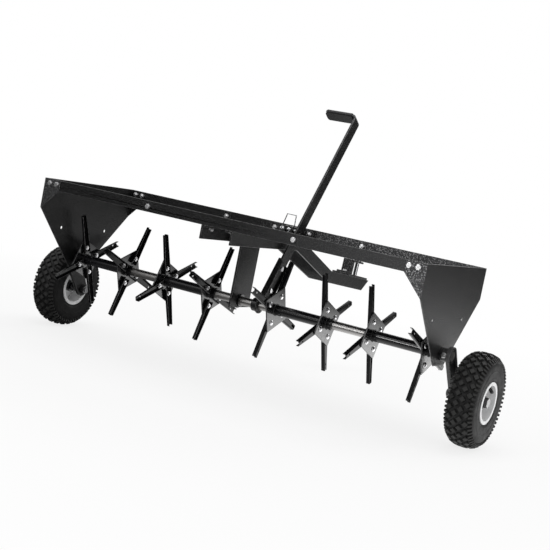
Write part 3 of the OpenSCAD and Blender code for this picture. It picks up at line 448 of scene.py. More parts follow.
def tine_enamel():
    # Painted shade: the tines are blacker than the reels and reflect less, standing in for the dark studio
    # they mirror.
    bench, place, feed = finish("tine_enamel", Specular_IOR_Level=0.16)
    ripple = bench.noise(place, per_metre=240, detail=3.0)
    runs = bench.ramp(bench.noise(place, per_metre=45, detail=3.0, stretch=(1, 1, 0.3)), 0.5, 0.72)
    colour = bench.mix(runs, grey(0.003, 0.0005), (0.010, 0.009, 0.009))
    rough = bench.ramp(ripple, *NOISE_SPAN, 0.08, 0.15)
    normal = bench.bump(ripple, strength=0.15, distance=0.3 * MM)
    return feed(Base_Color=colour, Roughness=rough, Normal=normal)


def rim_white():
    bench, place, feed = finish("rim_white", Specular_IOR_Level=0.15)
    ripple = bench.noise(place, per_metre=240)
    cloud = bench.ramp(bench.noise(place, per_metre=26, detail=4.0), *PATCH_SPAN)
    colour = bench.mix(cloud, grey(0.82), (0.78, 0.785, 0.79))
    rough = bench.ramp(ripple, *NOISE_SPAN, 0.26, 0.36)
    normal = bench.bump(ripple, strength=0.08, distance=0.2 * MM)
    return feed(Base_Color=colour, Roughness=rough, Normal=normal)


finishes.update(gloss_black=gloss_black(), rim_white=rim_white())
tine_finish = tine_enamel()
print(f"paints: {', '.join(finishes)}, and the tines' own")

# %% [markdown]
# ## Bare and plated metal
# Fasteners are bright zinc, mottled from the bath, and only the axle bolts are dull and dark. The pins are
# polished and slightly scratched along their length. The lift shaft is drawn bar: the die leaves fine lines
# round and along it. Anisotropic reflection could show them as one streak, but it needs a tangent on every
# face. A noise stretched far in one direction gives real lines.


# %% Bare and plated metal
def zinc(name, light, dull):
    bench, place, feed = finish(name, Metallic=1.0)
    mottle = bench.noise(place, per_metre=420, detail=4.0)
    cloud = bench.ramp(bench.noise(place, per_metre=110), 0.35, 0.65)
    colour = bench.mix(cloud, grey(light, light * 0.02), grey(dull))
    rough = bench.ramp(mottle, *NOISE_SPAN, 0.22, 0.42)
    normal = bench.bump(mottle, strength=0.15, distance=0.1 * MM)
    return feed(Base_Color=colour, Roughness=rough, Normal=normal)


def chrome():
    bench, place, feed = finish("chrome", Metallic=1.0)
    lines = bench.noise(place, per_metre=900, stretch=(0.08, 1, 1))
    cloud = bench.noise(place, per_metre=60, detail=3.0)
    colour = bench.mix(cloud, (0.80, 0.81, 0.82), (0.70, 0.71, 0.72))
    rough = bench.ramp(lines, *NOISE_SPAN, 0.06, 0.20)
    normal = bench.bump(lines, strength=0.06, distance=0.1 * MM)
    return feed(Base_Color=colour, Roughness=rough, Normal=normal)


def shaft_steel():
    bench, place, feed = finish("shaft_steel", Metallic=1.0)
    rings = bench.noise(place, per_metre=700, stretch=(1, 0.05, 0.05))
    drawn = bench.noise(place, per_metre=500, detail=3.0, stretch=(0.02, 1, 1))
    colour = bench.mix(drawn, (0.54, 0.53, 0.52), (0.44, 0.43, 0.42))
    rough = bench.ramp(rings, *NOISE_SPAN, 0.30, 0.38)
    normal = bench.bump(rings + drawn, strength=0.008, distance=0.1 * MM)
    return feed(Base_Color=colour, Roughness=rough, Normal=normal)


metals = {"zinc": zinc("zinc", light=0.84, dull=0.74), "chrome": chrome(), "shaft_steel": shaft_steel()}
finishes.update(metals)
dull_zinc = zinc("dull_zinc", light=0.17, dull=0.12)
print(f"metals: {', '.join(metals)}, and the axle bolts' own")

# %% [markdown]
# ## Rubber and vinyl
# A new tyre is dull. The parts that stand proud are painted lighter, with patches of dust, and the grooves
# and sidewalls darker, which in the grooves is painted shade. The tops of the blocks could be painted as a
# mask, but it would be lost with every change of the tread. So the shader measures the distance from the axle
# and adds what the round crown loses towards its sides, which tells tops from grooves. The grip is dipped
# vinyl, smooth with a soft sheen.

# %% Rubber and vinyl
TYRE_LOW, TYRE_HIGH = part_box("right_tyre")
TYRE_R = (TYRE_HIGH.z - TYRE_LOW.z) / 2
WHEEL_X, AXLE_Y, AXLE_Z = joints["right_wheel_spin"]["pos_m"]
TREAD_H = 6.5 * MM
TREAD_LEVELS = (TYRE_R - TREAD_H + 1.5 * MM, TYRE_R - 0.5 * MM)
CROWN_DROP = 324.0


def tyre_rubber():
    bench, place, feed = finish("tyre_rubber", Specular_IOR_Level=0.35)
    sideways = bench.parts(place).out("X")
    on_axle = bench.node("ShaderNodeCombineXYZ", {"X": sideways, "Y": AXLE_Y, "Z": AXLE_Z})
    beside = bench.magnitude(bench.magnitude(sideways) - WHEEL_X)
    level = bench.distance(place, on_axle) + beside * beside * beside * CROWN_DROP
    proud = bench.ramp(level, *TREAD_LEVELS)
    dust = bench.ramp(bench.noise(place, per_metre=45, detail=5.0), *PATCH_SPAN)
    grain = bench.noise(place, per_metre=900)
    # Painted shade: grooves and sidewalls darker than the proud tops, which are lighter with patches of dust.
    colour = bench.mix(proud * (0.35 + dust * 0.5), grey(0.006), grey(0.032, -0.001))
    rough = 0.58 + dust * 0.14 + grain * 0.08
    normal = bench.bump(grain, strength=0.25, distance=0.2 * MM)
    return feed(Base_Color=colour, Roughness=rough, Normal=normal)


def grip_vinyl():
    bench, place, feed = finish("grip_vinyl", Specular_IOR_Level=0.4)
    skin = bench.noise(place, per_metre=700, detail=3.0)
    cloud = bench.noise(place, per_metre=30)
    colour = bench.mix(cloud, grey(0.012, 0.001), grey(0.024, 0.001))
    rough = bench.ramp(skin, *NOISE_SPAN, 0.34, 0.48)
    normal = bench.bump(skin, strength=0.2, distance=0.15 * MM)
    return feed(Base_Color=colour, Roughness=rough, Normal=normal)


finishes.update(tyre_rubber=tyre_rubber(), grip_vinyl=grip_vinyl())
print(f"finishes in all: {len(finishes)}")

# %% [markdown]
# ## Dressing the solids
# Each solid takes the finish that the record names for it. A few take one of their own, which is found by the
# end of the solid's name, so that left and right need only one line.

# %% Dressing the solids
OWN_FINISH = {
    "_tines": tine_finish,
    "_end_plate": plate_finish,
    "_hub": finishes["gloss_black"],
    "_axle_bolt": dull_zinc,
    "axle_washers": finishes["grip_vinyl"],
    "axle_spacers": finishes["gloss_black"],
}


def finish_for(name):
    """The finish that the record names, unless the end of the name calls for one of its own."""
    for ending, own in OWN_FINISH.items():
        if name.endswith(ending):
            return own
    return finishes[slot_of_node[name]]


for node_name, solid_object in nodes.items():
    solid_object.data.materials.clear()
    solid_object.data.materials.append(finish_for(node_name))
print(f"{len(nodes)} solids dressed")

# %% [markdown]
# ## Rounded edges
# The solids are exact, with razor edges. Real folded sheet and bar have a small radius that catches a line of
# light. A Bevel shader could fake it, but only in the picture. A Bevel modifier makes it a real form, once
# the flat faces' triangles are joined to whole planes. The bevel gets a finish of its own: a lighter grey in
# patches, a painted highlight along the edges.

# %% Rounded edges
REELS = ("outer_left", "inner_left", "inner_right", "outer_right")
EDGE_ROUND = 0.8 * MM
EDGE_SEGMENTS = 2
EDGE_ANGLE = math.radians(40)
FLAT_ANGLE = math.radians(0.4)
FLAT_WEIGHT = 100
EDGE_HIGHLIGHT = 0.16
SAME_PLACE = 0.005 * MM
SHARP_SOLIDS = [
    "tray", "cross_braces", "left_end_plate", "right_end_plate", "centre_hanger", "left_tongue_bar",
    "right_tongue_bar", "hitch_saddle", "hitch_strap", "lock_bracket", "lever_bracket", "lever_bar",
    "left_wheel_arm", "right_wheel_arm",
]
SHARP_SOLIDS += [f"{reel}_{part}" for reel in REELS for part in ("reel", "tines")]


def painted_edge_highlight():
    bench, place, feed = finish("painted_edge_highlight", Specular_IOR_Level=0.5)
    highlight_patches = bench.ramp(bench.noise(place, per_metre=140, detail=4.0), *PATCH_SPAN)
    # Painted highlight: the bevel is a lighter grey in patches along every rounded edge.
    colour = bench.mix(highlight_patches, grey(0.02, 0.001), grey(EDGE_HIGHLIGHT))
    rough = bench.ramp(highlight_patches, 0.0, 1.0, 0.24, 0.34)
    return feed(Base_Color=colour, Roughness=rough)


def round_edges(solid):
    weld = solid.modifiers.new("weld", "WELD")
    weld.merge_threshold = SAME_PLACE
    planes = solid.modifiers.new("planes", "DECIMATE")
    planes.decimate_type = "DISSOLVE"
    planes.angle_limit = FLAT_ANGLE
    bevel = solid.modifiers.new("edge", "BEVEL")
    bevel.width = EDGE_ROUND
    bevel.segments = EDGE_SEGMENTS
    bevel.limit_method = "ANGLE"
    bevel.angle_limit = EDGE_ANGLE
    bevel.use_clamp_overlap = False
    bevel.material = len(solid.data.materials) - 1
    normals = solid.modifiers.new("normals", "WEIGHTED_NORMAL")
    normals.weight = FLAT_WEIGHT


edge_highlight_finish = painted_edge_highlight()
for node_name in SHARP_SOLIDS:
    nodes[node_name].data.materials.append(edge_highlight_finish)
    round_edges(nodes[node_name])
print(f"{len(SHARP_SOLIDS)} solids with rounded edges")

# %% [markdown]
# ## Trees that repeat things
# Blocks, bolts and weld beads repeat. A Python loop could copy their meshes, but Geometry Nodes place them
# faster and keep count and sizes as inputs. A tree gets named inputs for its sizes, ends in Realize Instances
# and Set Material, and is then turned into a plain mesh, so that nothing live is left on the piece.


# %% Trees that repeat things
def new_tree(name, **sizes):
    """A Geometry Nodes tree with one geometry input, the named sizes, and a function that closes it."""
    tree = bpy.data.node_groups.new(name, "GeometryNodeTree")
    inputs = {"Geometry": "Geometry", **sizes, "Material": "Material"}
    for label, kind in inputs.items():
        tree.interface.new_socket(label, in_out="INPUT", socket_type="NodeSocket" + kind)
    tree.interface.new_socket("Geometry", in_out="OUTPUT", socket_type="NodeSocketGeometry")
    bench = Bench(tree)
    given = bench.node("NodeGroupInput")

    def close(geometry):
        real = bench.node("GeometryNodeRealizeInstances", {0: geometry})
        painted = bench.node("GeometryNodeSetMaterial", {
            "Geometry": real, "Material": given.out("Material")})
        bench.node("NodeGroupOutput", {0: painted})
        return tree

    return bench, given, close


def grow(name, tree, mesh, slot, **sizes):
    """Runs a tree on a mesh and returns the result as an object with a plain mesh."""
    seed = bpy.data.objects.new(name + "_seed", mesh)
    scene.collection.objects.link(seed)
    modifier = seed.modifiers.new("tree", "NODES")
    modifier.node_group = tree
    sockets = {item.name: item.identifier for item in tree.interface.items_tree if item.in_out == "INPUT"}
    for label, value in sizes.items():
        modifier[sockets[label]] = value
    modifier[sockets["Material"]] = finishes[slot]
    graph = bpy.context.evaluated_depsgraph_get()
    plain = bpy.data.meshes.new_from_object(seed.evaluated_get(graph))
    bpy.data.objects.remove(seed)
    piece = bpy.data.objects.new(name, plain)
    scene.collection.objects.link(piece)
    return piece


print("trees can be opened, closed and grown")

# %% [markdown]
# ## Points and prisms
# A tree needs points to put things on, and each point may carry values such as a bolt's grip. Most small
# forms here are prisms. Each could be a mesh of its own, but a cone with few sides gives hexagons, squares
# and round bars alike.


# %% Points and prisms
def points_mesh(name, places, **attributes):
    """Loose points, with named attributes that a tree can read."""
    mesh = bpy.data.meshes.new(name)
    mesh.from_pydata([tuple(p) for p in places], [], [])
    for label, values in attributes.items():
        vector = hasattr(values[0], "__len__")
        layer = mesh.attributes.new(label, "FLOAT_VECTOR" if vector else "FLOAT", "POINT")
        for item, value in zip(layer.data, values):
            if vector:
                item.vector = value
            else:
                item.value = value
    return mesh


def move(bench, shape, **how):
    """A shape with a Translation, a Rotation or a Scale."""
    return bench.node("GeometryNodeTransform", {"Geometry": shape, **how})


def prism(bench, sides, low_r, high_r, height, lift=0.0, turn=0.0):
    """A straight or tapered prism on its base, as one node and its transform."""
    made = bench.node("GeometryNodeMeshCone", {
        "Vertices": sides, "Radius Top": high_r, "Radius Bottom": low_r, "Depth": height})
    return move(bench, made, Translation=(0, 0, lift), Rotation=(0, 0, turn))


def join(bench, *parts):
    return bench.node("GeometryNodeJoinGeometry", {"Geometry": list(parts)})


print("points and prisms ready")

# %% [markdown]
# ## The tyre's section
# The tyre is a carcass with a tread. A torus would be too round for it: a small pneumatic tyre has a flat
# crown and full shoulders. Half the section is therefore a quarter of a rounded square, from the crown to the
# widest place, and a sidewall from there in to the bead.

# %% The tyre's section
TYRE_HALF_W = (TYRE_HIGH.x - TYRE_LOW.x) / 2
CARCASS_R = TYRE_R - TREAD_H
WIDEST_R = 93 * MM
WIDEST_HALF = TYRE_HALF_W - 1.2 * MM
SQUARENESS = 2.5
SIDE_FULLNESS = 4
TYRE_SKIN = 6 * MM
BEAD_HALF_W = 34.6 * MM
BEAD_R = 50.4 * MM
BEAD_TOP_R = 59 * MM
BEAD_ROUND = 1.5 * MM
RIB_PLACES = (66 * MM, 86 * MM)
RIB_RISE = 0.8 * MM
RIB_HALF = 1.5 * MM
CROWN_STEPS = 24
SIDE_STEPS = 40
INSIDE_SKIP = 3


def crown_radius(width):
    """Radius of the crown at a distance from the middle of the tread."""
    share = (abs(width) / WIDEST_HALF) ** SQUARENESS
    return WIDEST_R + (CARCASS_R - WIDEST_R) * (1 - share) ** (1 / SQUARENESS)


def crown_point(turn, skin):
    """A point of the crown, or of its inside if a skin is taken off."""
    width = (WIDEST_HALF - skin) * math.sin(turn) ** (2 / SQUARENESS)
    return width, WIDEST_R + (CARCASS_R - skin - WIDEST_R) * math.cos(turn) ** (2 / SQUARENESS)


def sidewall(radius):
    """Half the tyre's width at a radius below the widest place, with the two fine ribs moulded into it."""
    down = (WIDEST_R - radius) / (WIDEST_R - BEAD_TOP_R)
    rib = max(max(0.0, 1 - abs(radius - place) / RIB_HALF) for place in RIB_PLACES)
    swell = math.sqrt(max(0.0, 1 - down ** SIDE_FULLNESS))
    return BEAD_HALF_W + (WIDEST_HALF - BEAD_HALF_W) * swell + RIB_RISE * rib


def half_section():
    """Outside of half the section from the crown to the bead, then back up the inside."""
    turns = [math.pi / 2 * k / CROWN_STEPS for k in range(CROWN_STEPS + 1)]
    crown = [crown_point(turn, 0.0) for turn in turns]
    radii = [WIDEST_R + (BEAD_TOP_R - WIDEST_R) * k / SIDE_STEPS for k in range(1, SIDE_STEPS + 1)]
    side = [(sidewall(radius), radius) for radius in radii]
    bead = [(BEAD_HALF_W, BEAD_TOP_R - BEAD_ROUND), (BEAD_HALF_W, BEAD_R), (BEAD_HALF_W - TYRE_SKIN, BEAD_R)]
    inside = [crown_point(turn, TYRE_SKIN) for turn in turns[::-INSIDE_SKIP]]
    return crown + side + bead + inside


print(f"half section with {len(half_section())} points")

# %% [markdown]
# ## The carcass
# The section is mirrored to a closed loop and spun round the axle. A Screw modifier could do it as well, but
# here the points go straight to their places in the machine. Points that fall together are merged, and the
# faces are turned outwards.

# %% The carcass
SPIN_STEPS = 120
SEAM = 0.01 * MM


def tyre_carcass(name, centre):
    half = half_section()
    loop = half + [(-width, radius) for width, radius in half[::-1] if width > 0]
    form = bmesh.new()
    rings = []
    for step in range(SPIN_STEPS):
        turn = 2 * math.pi * step / SPIN_STEPS
        out = Vector((0, math.cos(turn), math.sin(turn)))
        places = [centre + Vector((width, 0, 0)) + out * radius for width, radius in loop]
        rings.append([form.verts.new(place) for place in places])
    for near, far in zip(rings, rings[1:] + rings[:1]):
        for k in range(len(loop)):
            form.faces.new((near[k], near[k - 1], far[k - 1], far[k]))
    bmesh.ops.remove_doubles(form, verts=form.verts, dist=SEAM)
    bmesh.ops.recalc_face_normals(form, faces=form.faces)
    for face in form.faces:
        face.smooth = True
    mesh = bpy.data.meshes.new(name)
    form.to_mesh(mesh)
    form.free()
    return mesh


wheel_centres = {side: Vector(joints[f"{side}_wheel_spin"]["pos_m"]) for side in ("left", "right")}
carcasses = {side: tyre_carcass(f"{side}_carcass", centre) for side, centre in wheel_centres.items()}
for carcass in carcasses.values():
    print(f"{carcass.name}: {len(carcass.polygons)} faces")

# %% [markdown]
# ## One pitch of the tread
# The tread has diamond blocks in four staggered rows and lugs round both shoulders, which come twice as
# often. Bump could draw it, but the blocks show in the tyre's outline, so they are real forms. Every block is
# a tapered square prism that leans with the round crown. One pitch is built at the top of the wheel.

# %% One pitch of the tread
TREAD_COUNT = 30
SQUARE = 4
TREAD_SINK = 1.5 * MM
DIAMOND_BASE = 9.6 * MM
DIAMOND_TOP = 7.6 * MM
LUG_BASE = 6.0 * MM
LUG_TOP = 4.6 * MM
LUG_STRETCH = (2.0, 0.8, 1)
LUG_ROW = 31.5 * MM
LUG_LESS = 1.0 * MM
TOP_LESS = 0.4 * MM
HALF_PITCH = math.pi / TREAD_COUNT
ROWS = ((-21.6 * MM, 0.0), (-7.2 * MM, HALF_PITCH), (7.2 * MM, 0.0), (21.6 * MM, HALF_PITCH))


def lean_at(width):
    """How far the crown's surface leans at a distance from the middle of the tread."""
    step = 0.1 * MM
    return math.atan2(crown_radius(width - step) - crown_radius(width + step), 2 * step)


def set_out(bench, shape, width, sink, phase):
    """Sinks a shape into the crown at the top of the wheel, leans it and turns it round the axle."""
    lean = lean_at(width)
    across = width - sink * math.sin(lean)
    up = crown_radius(width) - sink * math.cos(lean)
    stood = move(bench, shape, Rotation=(0, lean, 0), Translation=(across, 0, up))
    return move(bench, stood, Rotation=(phase, 0, 0))


def tread_pitch(bench):
    """One pitch of the tread at the top of a wheel whose axle lies along X."""
    height = TREAD_H + TREAD_SINK - TOP_LESS
    diamond = prism(bench, SQUARE, DIAMOND_BASE, DIAMOND_TOP, height)
    square = prism(bench, SQUARE, LUG_BASE, LUG_TOP, height, turn=math.pi / 4)
    lug = move(bench, square, Scale=LUG_STRETCH)
    parts = [set_out(bench, diamond, row, TREAD_SINK, phase) for row, phase in ROWS]
    for side in (-1, 1):
        for phase in (HALF_PITCH / 2, HALF_PITCH * 3 / 2):
            parts.append(set_out(bench, lug, side * LUG_ROW, TREAD_SINK + LUG_LESS, phase))
    return join(bench, *parts)


print(f"{len(ROWS)} rows of blocks, outer ones leaning {math.degrees(lean_at(ROWS[-1][0])):.1f} degrees")

# %% [markdown]
# ## The tread round the wheel
# A tree turns the pitch round the axle as often as there are blocks and joins it to the carcass. An Array
# modifier could do the same, but it needs an empty to turn about.


# %% The tread round the wheel
def tread_tree():
    bench, given, close = new_tree("tread", Count="Int", Centre="Vector")
    pitch = tread_pitch(bench)
    spots = bench.node("GeometryNodePoints", {"Count": given.out("Count")})
    index = bench.node("GeometryNodeInputIndex")
    turn = bench.node("ShaderNodeCombineXYZ", {"X": index * (2 * math.pi) / given.out("Count")})
    copies = bench.node("GeometryNodeInstanceOnPoints", {
        "Points": spots, "Instance": pitch, "Rotation": turn})
    real = bench.node("GeometryNodeRealizeInstances", {0: copies})
    moved = move(bench, real, Translation=given.out("Centre"))
    flat = bench.node("GeometryNodeSetShadeSmooth", {"Geometry": moved, "Shade Smooth": False})
    return close(join(bench, given.out("Geometry"), flat))


tread = tread_tree()
for side_name, wheel_centre in wheel_centres.items():
    tyre = grow(f"{side_name}_block_tyre", tread, carcasses[side_name], "tyre_rubber",
                Count=TREAD_COUNT, Centre=wheel_centre)
    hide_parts(f"{side_name}_tyre")
    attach(tyre, f"{side_name}_wheel")
    print(f"{tyre.name}: {len(tyre.data.polygons)} faces")

# %% [markdown]
# ## Valve stems
# The valve is a plain stem in the solids, and it stands at a slant. Its angle could be typed in, but the
# stem's own points tell its axis: the direction in which they are spread widest.

# %% Valve stems
SPREAD_ROUNDS = 30


def long_axis(points):
    """Middle of the points and the direction in which they are spread widest."""
    middle = sum(points, Vector()) / len(points)
    axis = Vector((1, 1, 1))
    for _ in range(SPREAD_ROUNDS):
        axis = sum(((p - middle) * (p - middle).dot(axis) for p in points), Vector()).normalized()
    return middle, axis


def valve_stem(side, outward):
    """Inner end, outward direction and length of a valve's stem."""
    points = [vert.co.copy() for vert in nodes[f"{side}_valve"].data.vertices]
    middle, axis = long_axis(points)
    if axis.x * outward < 0:
        axis.negate()
    along = [(point - middle).dot(axis) for point in points]
    return middle + axis * min(along), axis, max(along) - min(along)


stems = {"left": valve_stem("left", -1), "right": valve_stem("right", 1)}
for side_name, (_, _, stem_length) in stems.items():
    print(f"{side_name} valve: stem {stem_length / MM:.1f} mm long")

# %% [markdown]
# ## Valve caps
# A fluted cap sits on the stem's outer end and a rubber foot round its inner end. A turned profile would have
# no flutes, so the cap is a stack of prisms with few sides.

# %% Valve caps
FOOT_R = 6.4 * MM
FOOT_H = 6 * MM
FOOT_SIDES = 24
FOOT_TAPER = 0.9
CAP_R = 5.0 * MM
CAP_H = 12 * MM
CAP_SIDES = 9
CAP_TAPER = 0.7


def valve_tree():
    bench, given, close = new_tree("valve_cap", Length="Float", Turn="Vector")
    straight = CAP_H - CAP_R / 2
    flutes = prism(bench, CAP_SIDES, CAP_R, CAP_R, straight)
    tip = prism(bench, CAP_SIDES, CAP_R, CAP_R * CAP_TAPER, CAP_R / 2, straight)
    top = bench.node("ShaderNodeCombineXYZ", {"Z": given.out("Length") - CAP_H})
    lifted = move(bench, join(bench, flutes, tip), Translation=top)
    foot = prism(bench, FOOT_SIDES, FOOT_R, CAP_R * FOOT_TAPER, FOOT_H)
    valves = bench.node("GeometryNodeInstanceOnPoints", {
        "Points": given.out("Geometry"),
        "Instance": join(bench, foot, lifted),
        "Rotation": given.out("Turn")})
    return close(valves)


valve_form = valve_tree()
for side_name, (stem_foot, stem_axis, stem_length) in stems.items():
    foot_seed = points_mesh(f"{side_name}_valve_seed", [stem_foot])
    stem_turn = stem_axis.to_track_quat("Z", "Y").to_euler()
    cap = grow(f"{side_name}_valve_cap", valve_form, foot_seed, "grip_vinyl",
               Length=stem_length, Turn=tuple(stem_turn))
    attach(cap, f"{side_name}_wheel")
    print(f"{cap.name}: {len(cap.data.polygons)} faces")

# %% [markdown]
# ## Islands of a mesh
# The eight corner bolts are one node, so its mesh has eight islands that no edge joins. Edit mode could
# separate them by loose parts, but only their points are needed. A walk along the edges finds them, once the
# points that fall together are merged.

# %% Islands of a mesh
ONE_POINT = 0.001 * MM


def islands(name):
    """The separate solids of a node, each as a list of points."""
    form = bmesh.new()
    form.from_mesh(nodes[name].data)
    bmesh.ops.remove_doubles(form, verts=form.verts, dist=ONE_POINT)
    seen = set()
    found = []
    for first in form.verts:
        reached = [] if first in seen else [first]
        solid = []
        while reached:
            vert = reached.pop()
            if vert not in seen:
                seen.add(vert)
                solid.append(vert.co.copy())
                reached += [link.other_vert(vert) for link in vert.link_edges]
        if solid:
            found.append(solid)
    form.free()
    return found


print(f"corner_bolts: {len(islands('corner_bolts'))} islands")

# %% [markdown]
# ## Where the fasteners are
# A list of places could be typed in for the detailed bolts, but the plain ones already stand in their holes
# and tell where they go. The wide end of each is the head, and the rest of the length, less the nut and the
# tail, is the grip.

# %% Where the fasteners are
HEAD_H = 5.3 * MM
NUT_H = 6.5 * MM
TAIL = 2.5 * MM
BOLT_R = 4.0 * MM
END_BAND = 0.05 * MM
TAIL_MATCH = 0.1 * MM
BOLT_AXES = {
    "corner_bolts": (0, 1, 0),
    "brace_bolts": (0, 1, 0),
    "lock_bracket_bolts": (0, 1, 0),
    "tongue_bolts": (0, 0, 1),
    "hanger_bolts": (0, 0, 1),
    "lever_bolts": (1, 0, 0),
    "arm_bolts": (0, 1, 0),
    "hitch_bolts": joints["hitch_pin_pull"]["axis"],
}


def end_radius(solid, axis, core, end):
    """How far a solid spreads from its own axis at one end."""
    near = [p for p in solid if abs(p.dot(axis) - end) < END_BAND]
    return max((p - core - axis * end).length for p in near)


def bolt_spots(name, axis, head_h):
    """Head seat, direction from head to nut, and grip of each bolt in a node."""
    axis = Vector(axis).normalized()
    spots = []
    for solid in islands(name):
        along = [p.dot(axis) for p in solid]
        low, high = min(along), max(along)
        side = axis.orthogonal().normalized()
        across = axis.cross(side)
        middle = [sum(f(p.dot(d) for p in solid) for f in (min, max)) / 2 for d in (side, across)]
        core = side * middle[0] + across * middle[1]
        tail_low = abs(end_radius(solid, axis, core, low) - BOLT_R) < TAIL_MATCH
        direction = -axis if tail_low else axis
        head_end = high if tail_low else low
        seat = core + axis * head_end + direction * head_h
        spots.append((seat, direction, high - low - head_h - NUT_H - TAIL))
    return spots


hex_places = {name: bolt_spots(name, axis, HEAD_H) for name, axis in BOLT_AXES.items()}
for node_name, places in hex_places.items():
    print(f"{node_name}: {len(places)}, grip {places[0][2] / MM:.2f} mm")

# %% [markdown]
# ## Heads, nuts and threads
# A hex head is a six-sided prism with its corners cut back, on a round washer face. A carriage bolt has a
# shallow dome. The tail past the nut shows a few turns of thread. A true helix would cost many faces for a
# detail of one millimetre, so a stack of double cones stands for it.

# %% Heads, nuts and threads
HEXAGON = 6
HEX_FLATS = 13 * MM
HEX_R = HEX_FLATS / 2 / math.cos(math.pi / HEXAGON)
DOME_H = 4.0 * MM
WASHER_FACE = 0.8 * MM
WASHER_R = HEX_R * 0.95
WASHER_SIDES = 28
CORNER_CUT = 0.9 * MM
CUT_R = HEX_R * 0.87
THREAD_PITCH = 1.25 * MM
THREAD_ROOT = BOLT_R - 0.55 * MM
THREAD_END = TAIL - 0.4 * MM
BOLT_SIDES = 20
DOME_SIDES = 24
DOME_RINGS = 12
EQUATOR = 0.01


def hex_block(bench, height, flip):
    """A hex head or nut from z = 0 upwards, or downwards if flipped."""
    ring = prism(bench, WASHER_SIDES, WASHER_R, WASHER_R, WASHER_FACE)
    body = prism(bench, HEXAGON, HEX_R, HEX_R, height - WASHER_FACE - CORNER_CUT, WASHER_FACE)
    crown = prism(bench, HEXAGON, HEX_R, CUT_R, CORNER_CUT, height - CORNER_CUT)
    block = join(bench, ring, body, crown)
    if not flip:
        return block
    return move(bench, block, Rotation=(math.pi, 0, 0))


def thread_tail(bench):
    """The bolt's end past the nut: a core and a stack of double cones."""
    half = THREAD_PITCH / 2
    ridges = [prism(bench, BOLT_SIDES, THREAD_ROOT, THREAD_ROOT, THREAD_END, NUT_H)]
    for k in range(int(THREAD_END / THREAD_PITCH) + 1):
        lift = NUT_H + k * THREAD_PITCH
        ridges.append(prism(bench, BOLT_SIDES, THREAD_ROOT, BOLT_R, half, lift))
        ridges.append(prism(bench, BOLT_SIDES, BOLT_R, THREAD_ROOT, half, lift + half))
    return join(bench, *ridges)


def dome_head(bench):
    """A shallow dome below z = 0: the lower half of a ball, flattened, with a flat face to sit on."""
    ball = bench.node("GeometryNodeMeshUVSphere", {
        "Segments": DOME_SIDES, "Rings": DOME_RINGS, "Radius": 1.0})
    upper = bench.parts(bench.node("GeometryNodeInputPosition")).out("Z") > EQUATOR
    bowl = bench.node("GeometryNodeDeleteGeometry", {"Geometry": ball, "Selection": upper}, domain="FACE")
    lid = bench.node("GeometryNodeMeshCircle", {"Vertices": DOME_SIDES, "Radius": 1.0}, fill_type="NGON")
    smooth = bench.node("GeometryNodeSetShadeSmooth", {"Geometry": bowl})
    return move(bench, join(bench, smooth, lid), Scale=(2 * BOLT_R, 2 * BOLT_R, DOME_H))


print(f"hex heads {HEX_FLATS / MM:.0f} mm over the flats, domes {4 * BOLT_R / MM:.0f} mm wide")

# %% [markdown]
# ## Hex bolts and carriage bolts
# One tree serves every bolt: it puts a head, a shank as long as the grip, and a nut at each point, turned as
# the point says. Modelling one bolt of each length would work too, but a tree that reads the grip fits them
# all.


# %% Hex bolts and carriage bolts
def bolt_tree(name, head):
    bench, given, close = new_tree(name, Shank="Float")
    spots = given.out("Geometry")
    turn = bench.node("GeometryNodeInputNamedAttribute", {"Name": "turn"}, data_type="FLOAT_VECTOR")
    grip = bench.node("GeometryNodeInputNamedAttribute", {"Name": "grip"}, data_type="FLOAT")

    def at_spots(shape, scale=None):
        sockets = {"Points": spots, "Instance": shape, "Rotation": turn}
        if scale:
            sockets["Scale"] = scale
        return bench.node("GeometryNodeInstanceOnPoints", sockets)

    stretch = bench.node("ShaderNodeCombineXYZ", {"X": 1.0, "Y": 1.0, "Z": grip})
    shank = given.out("Shank")
    rod = bench.node("GeometryNodeMeshCone", {
        "Vertices": BOLT_SIDES, "Radius Top": shank, "Radius Bottom": shank, "Depth": 1.0})
    shanks = at_spots(rod, stretch)
    nuts = at_spots(join(bench, hex_block(bench, NUT_H, False), thread_tail(bench)))
    past_grip = bench.node("ShaderNodeCombineXYZ", {"Z": grip})
    seated = bench.node("GeometryNodeTranslateInstances", {
        "Instances": nuts, "Translation": past_grip, "Local Space": True})
    return close(join(bench, at_spots(head(bench)), shanks, seated))


def fit_bolts(name, tree, spots):
    turns = [tuple(direction.to_track_quat("Z", "Y").to_euler()) for _, direction, _ in spots]
    grips = [grip for _, _, grip in spots]
    seeds = points_mesh(name, [seat for seat, _, _ in spots], turn=turns, grip=grips)
    piece = grow(f"{name}_threaded", tree, seeds, "zinc", Shank=BOLT_R)
    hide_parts(name)
    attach(piece, body_of_node[name])
    return len(spots)


hex_bolts = bolt_tree("hex_bolts", lambda bench: hex_block(bench, HEAD_H, True))
carriage_bolts = bolt_tree("carriage_bolts", dome_head)
bolts_made = 0
for node_name, places in hex_places.items():
    bolts_made += fit_bolts(node_name, hex_bolts, places)
for reel in REELS:
    node_name = f"{reel}_tine_bolts"
    bolts_made += fit_bolts(node_name, carriage_bolts, bolt_spots(node_name, (1, 0, 0), DOME_H))
print(f"{bolts_made} bolts fitted")

# %% [markdown]
# ## Weld beads
# The spiders are welded to the reel tubes. A thin torus would look like a rubber ring there. A weld is a row
# of small overlapping puddles, so a tree puts small balls close together on a circle, and that circle on both
# faces of each spider.

# %% Weld beads
SPIDERS = {
    "outer_left": (-577 * MM, -413 * MM),
    "inner_left": (-273 * MM, -109 * MM),
    "inner_right": (109 * MM, 273 * MM),
    "outer_right": (413 * MM, 577 * MM),
}
SPIDER_HALF_T = 2 * MM
WELD_RING = 15.6 * MM
WELD_BEAD = 1.9 * MM
WELD_COUNT = 36
BEAD_SIDES = 8
BEAD_RINGS = 5


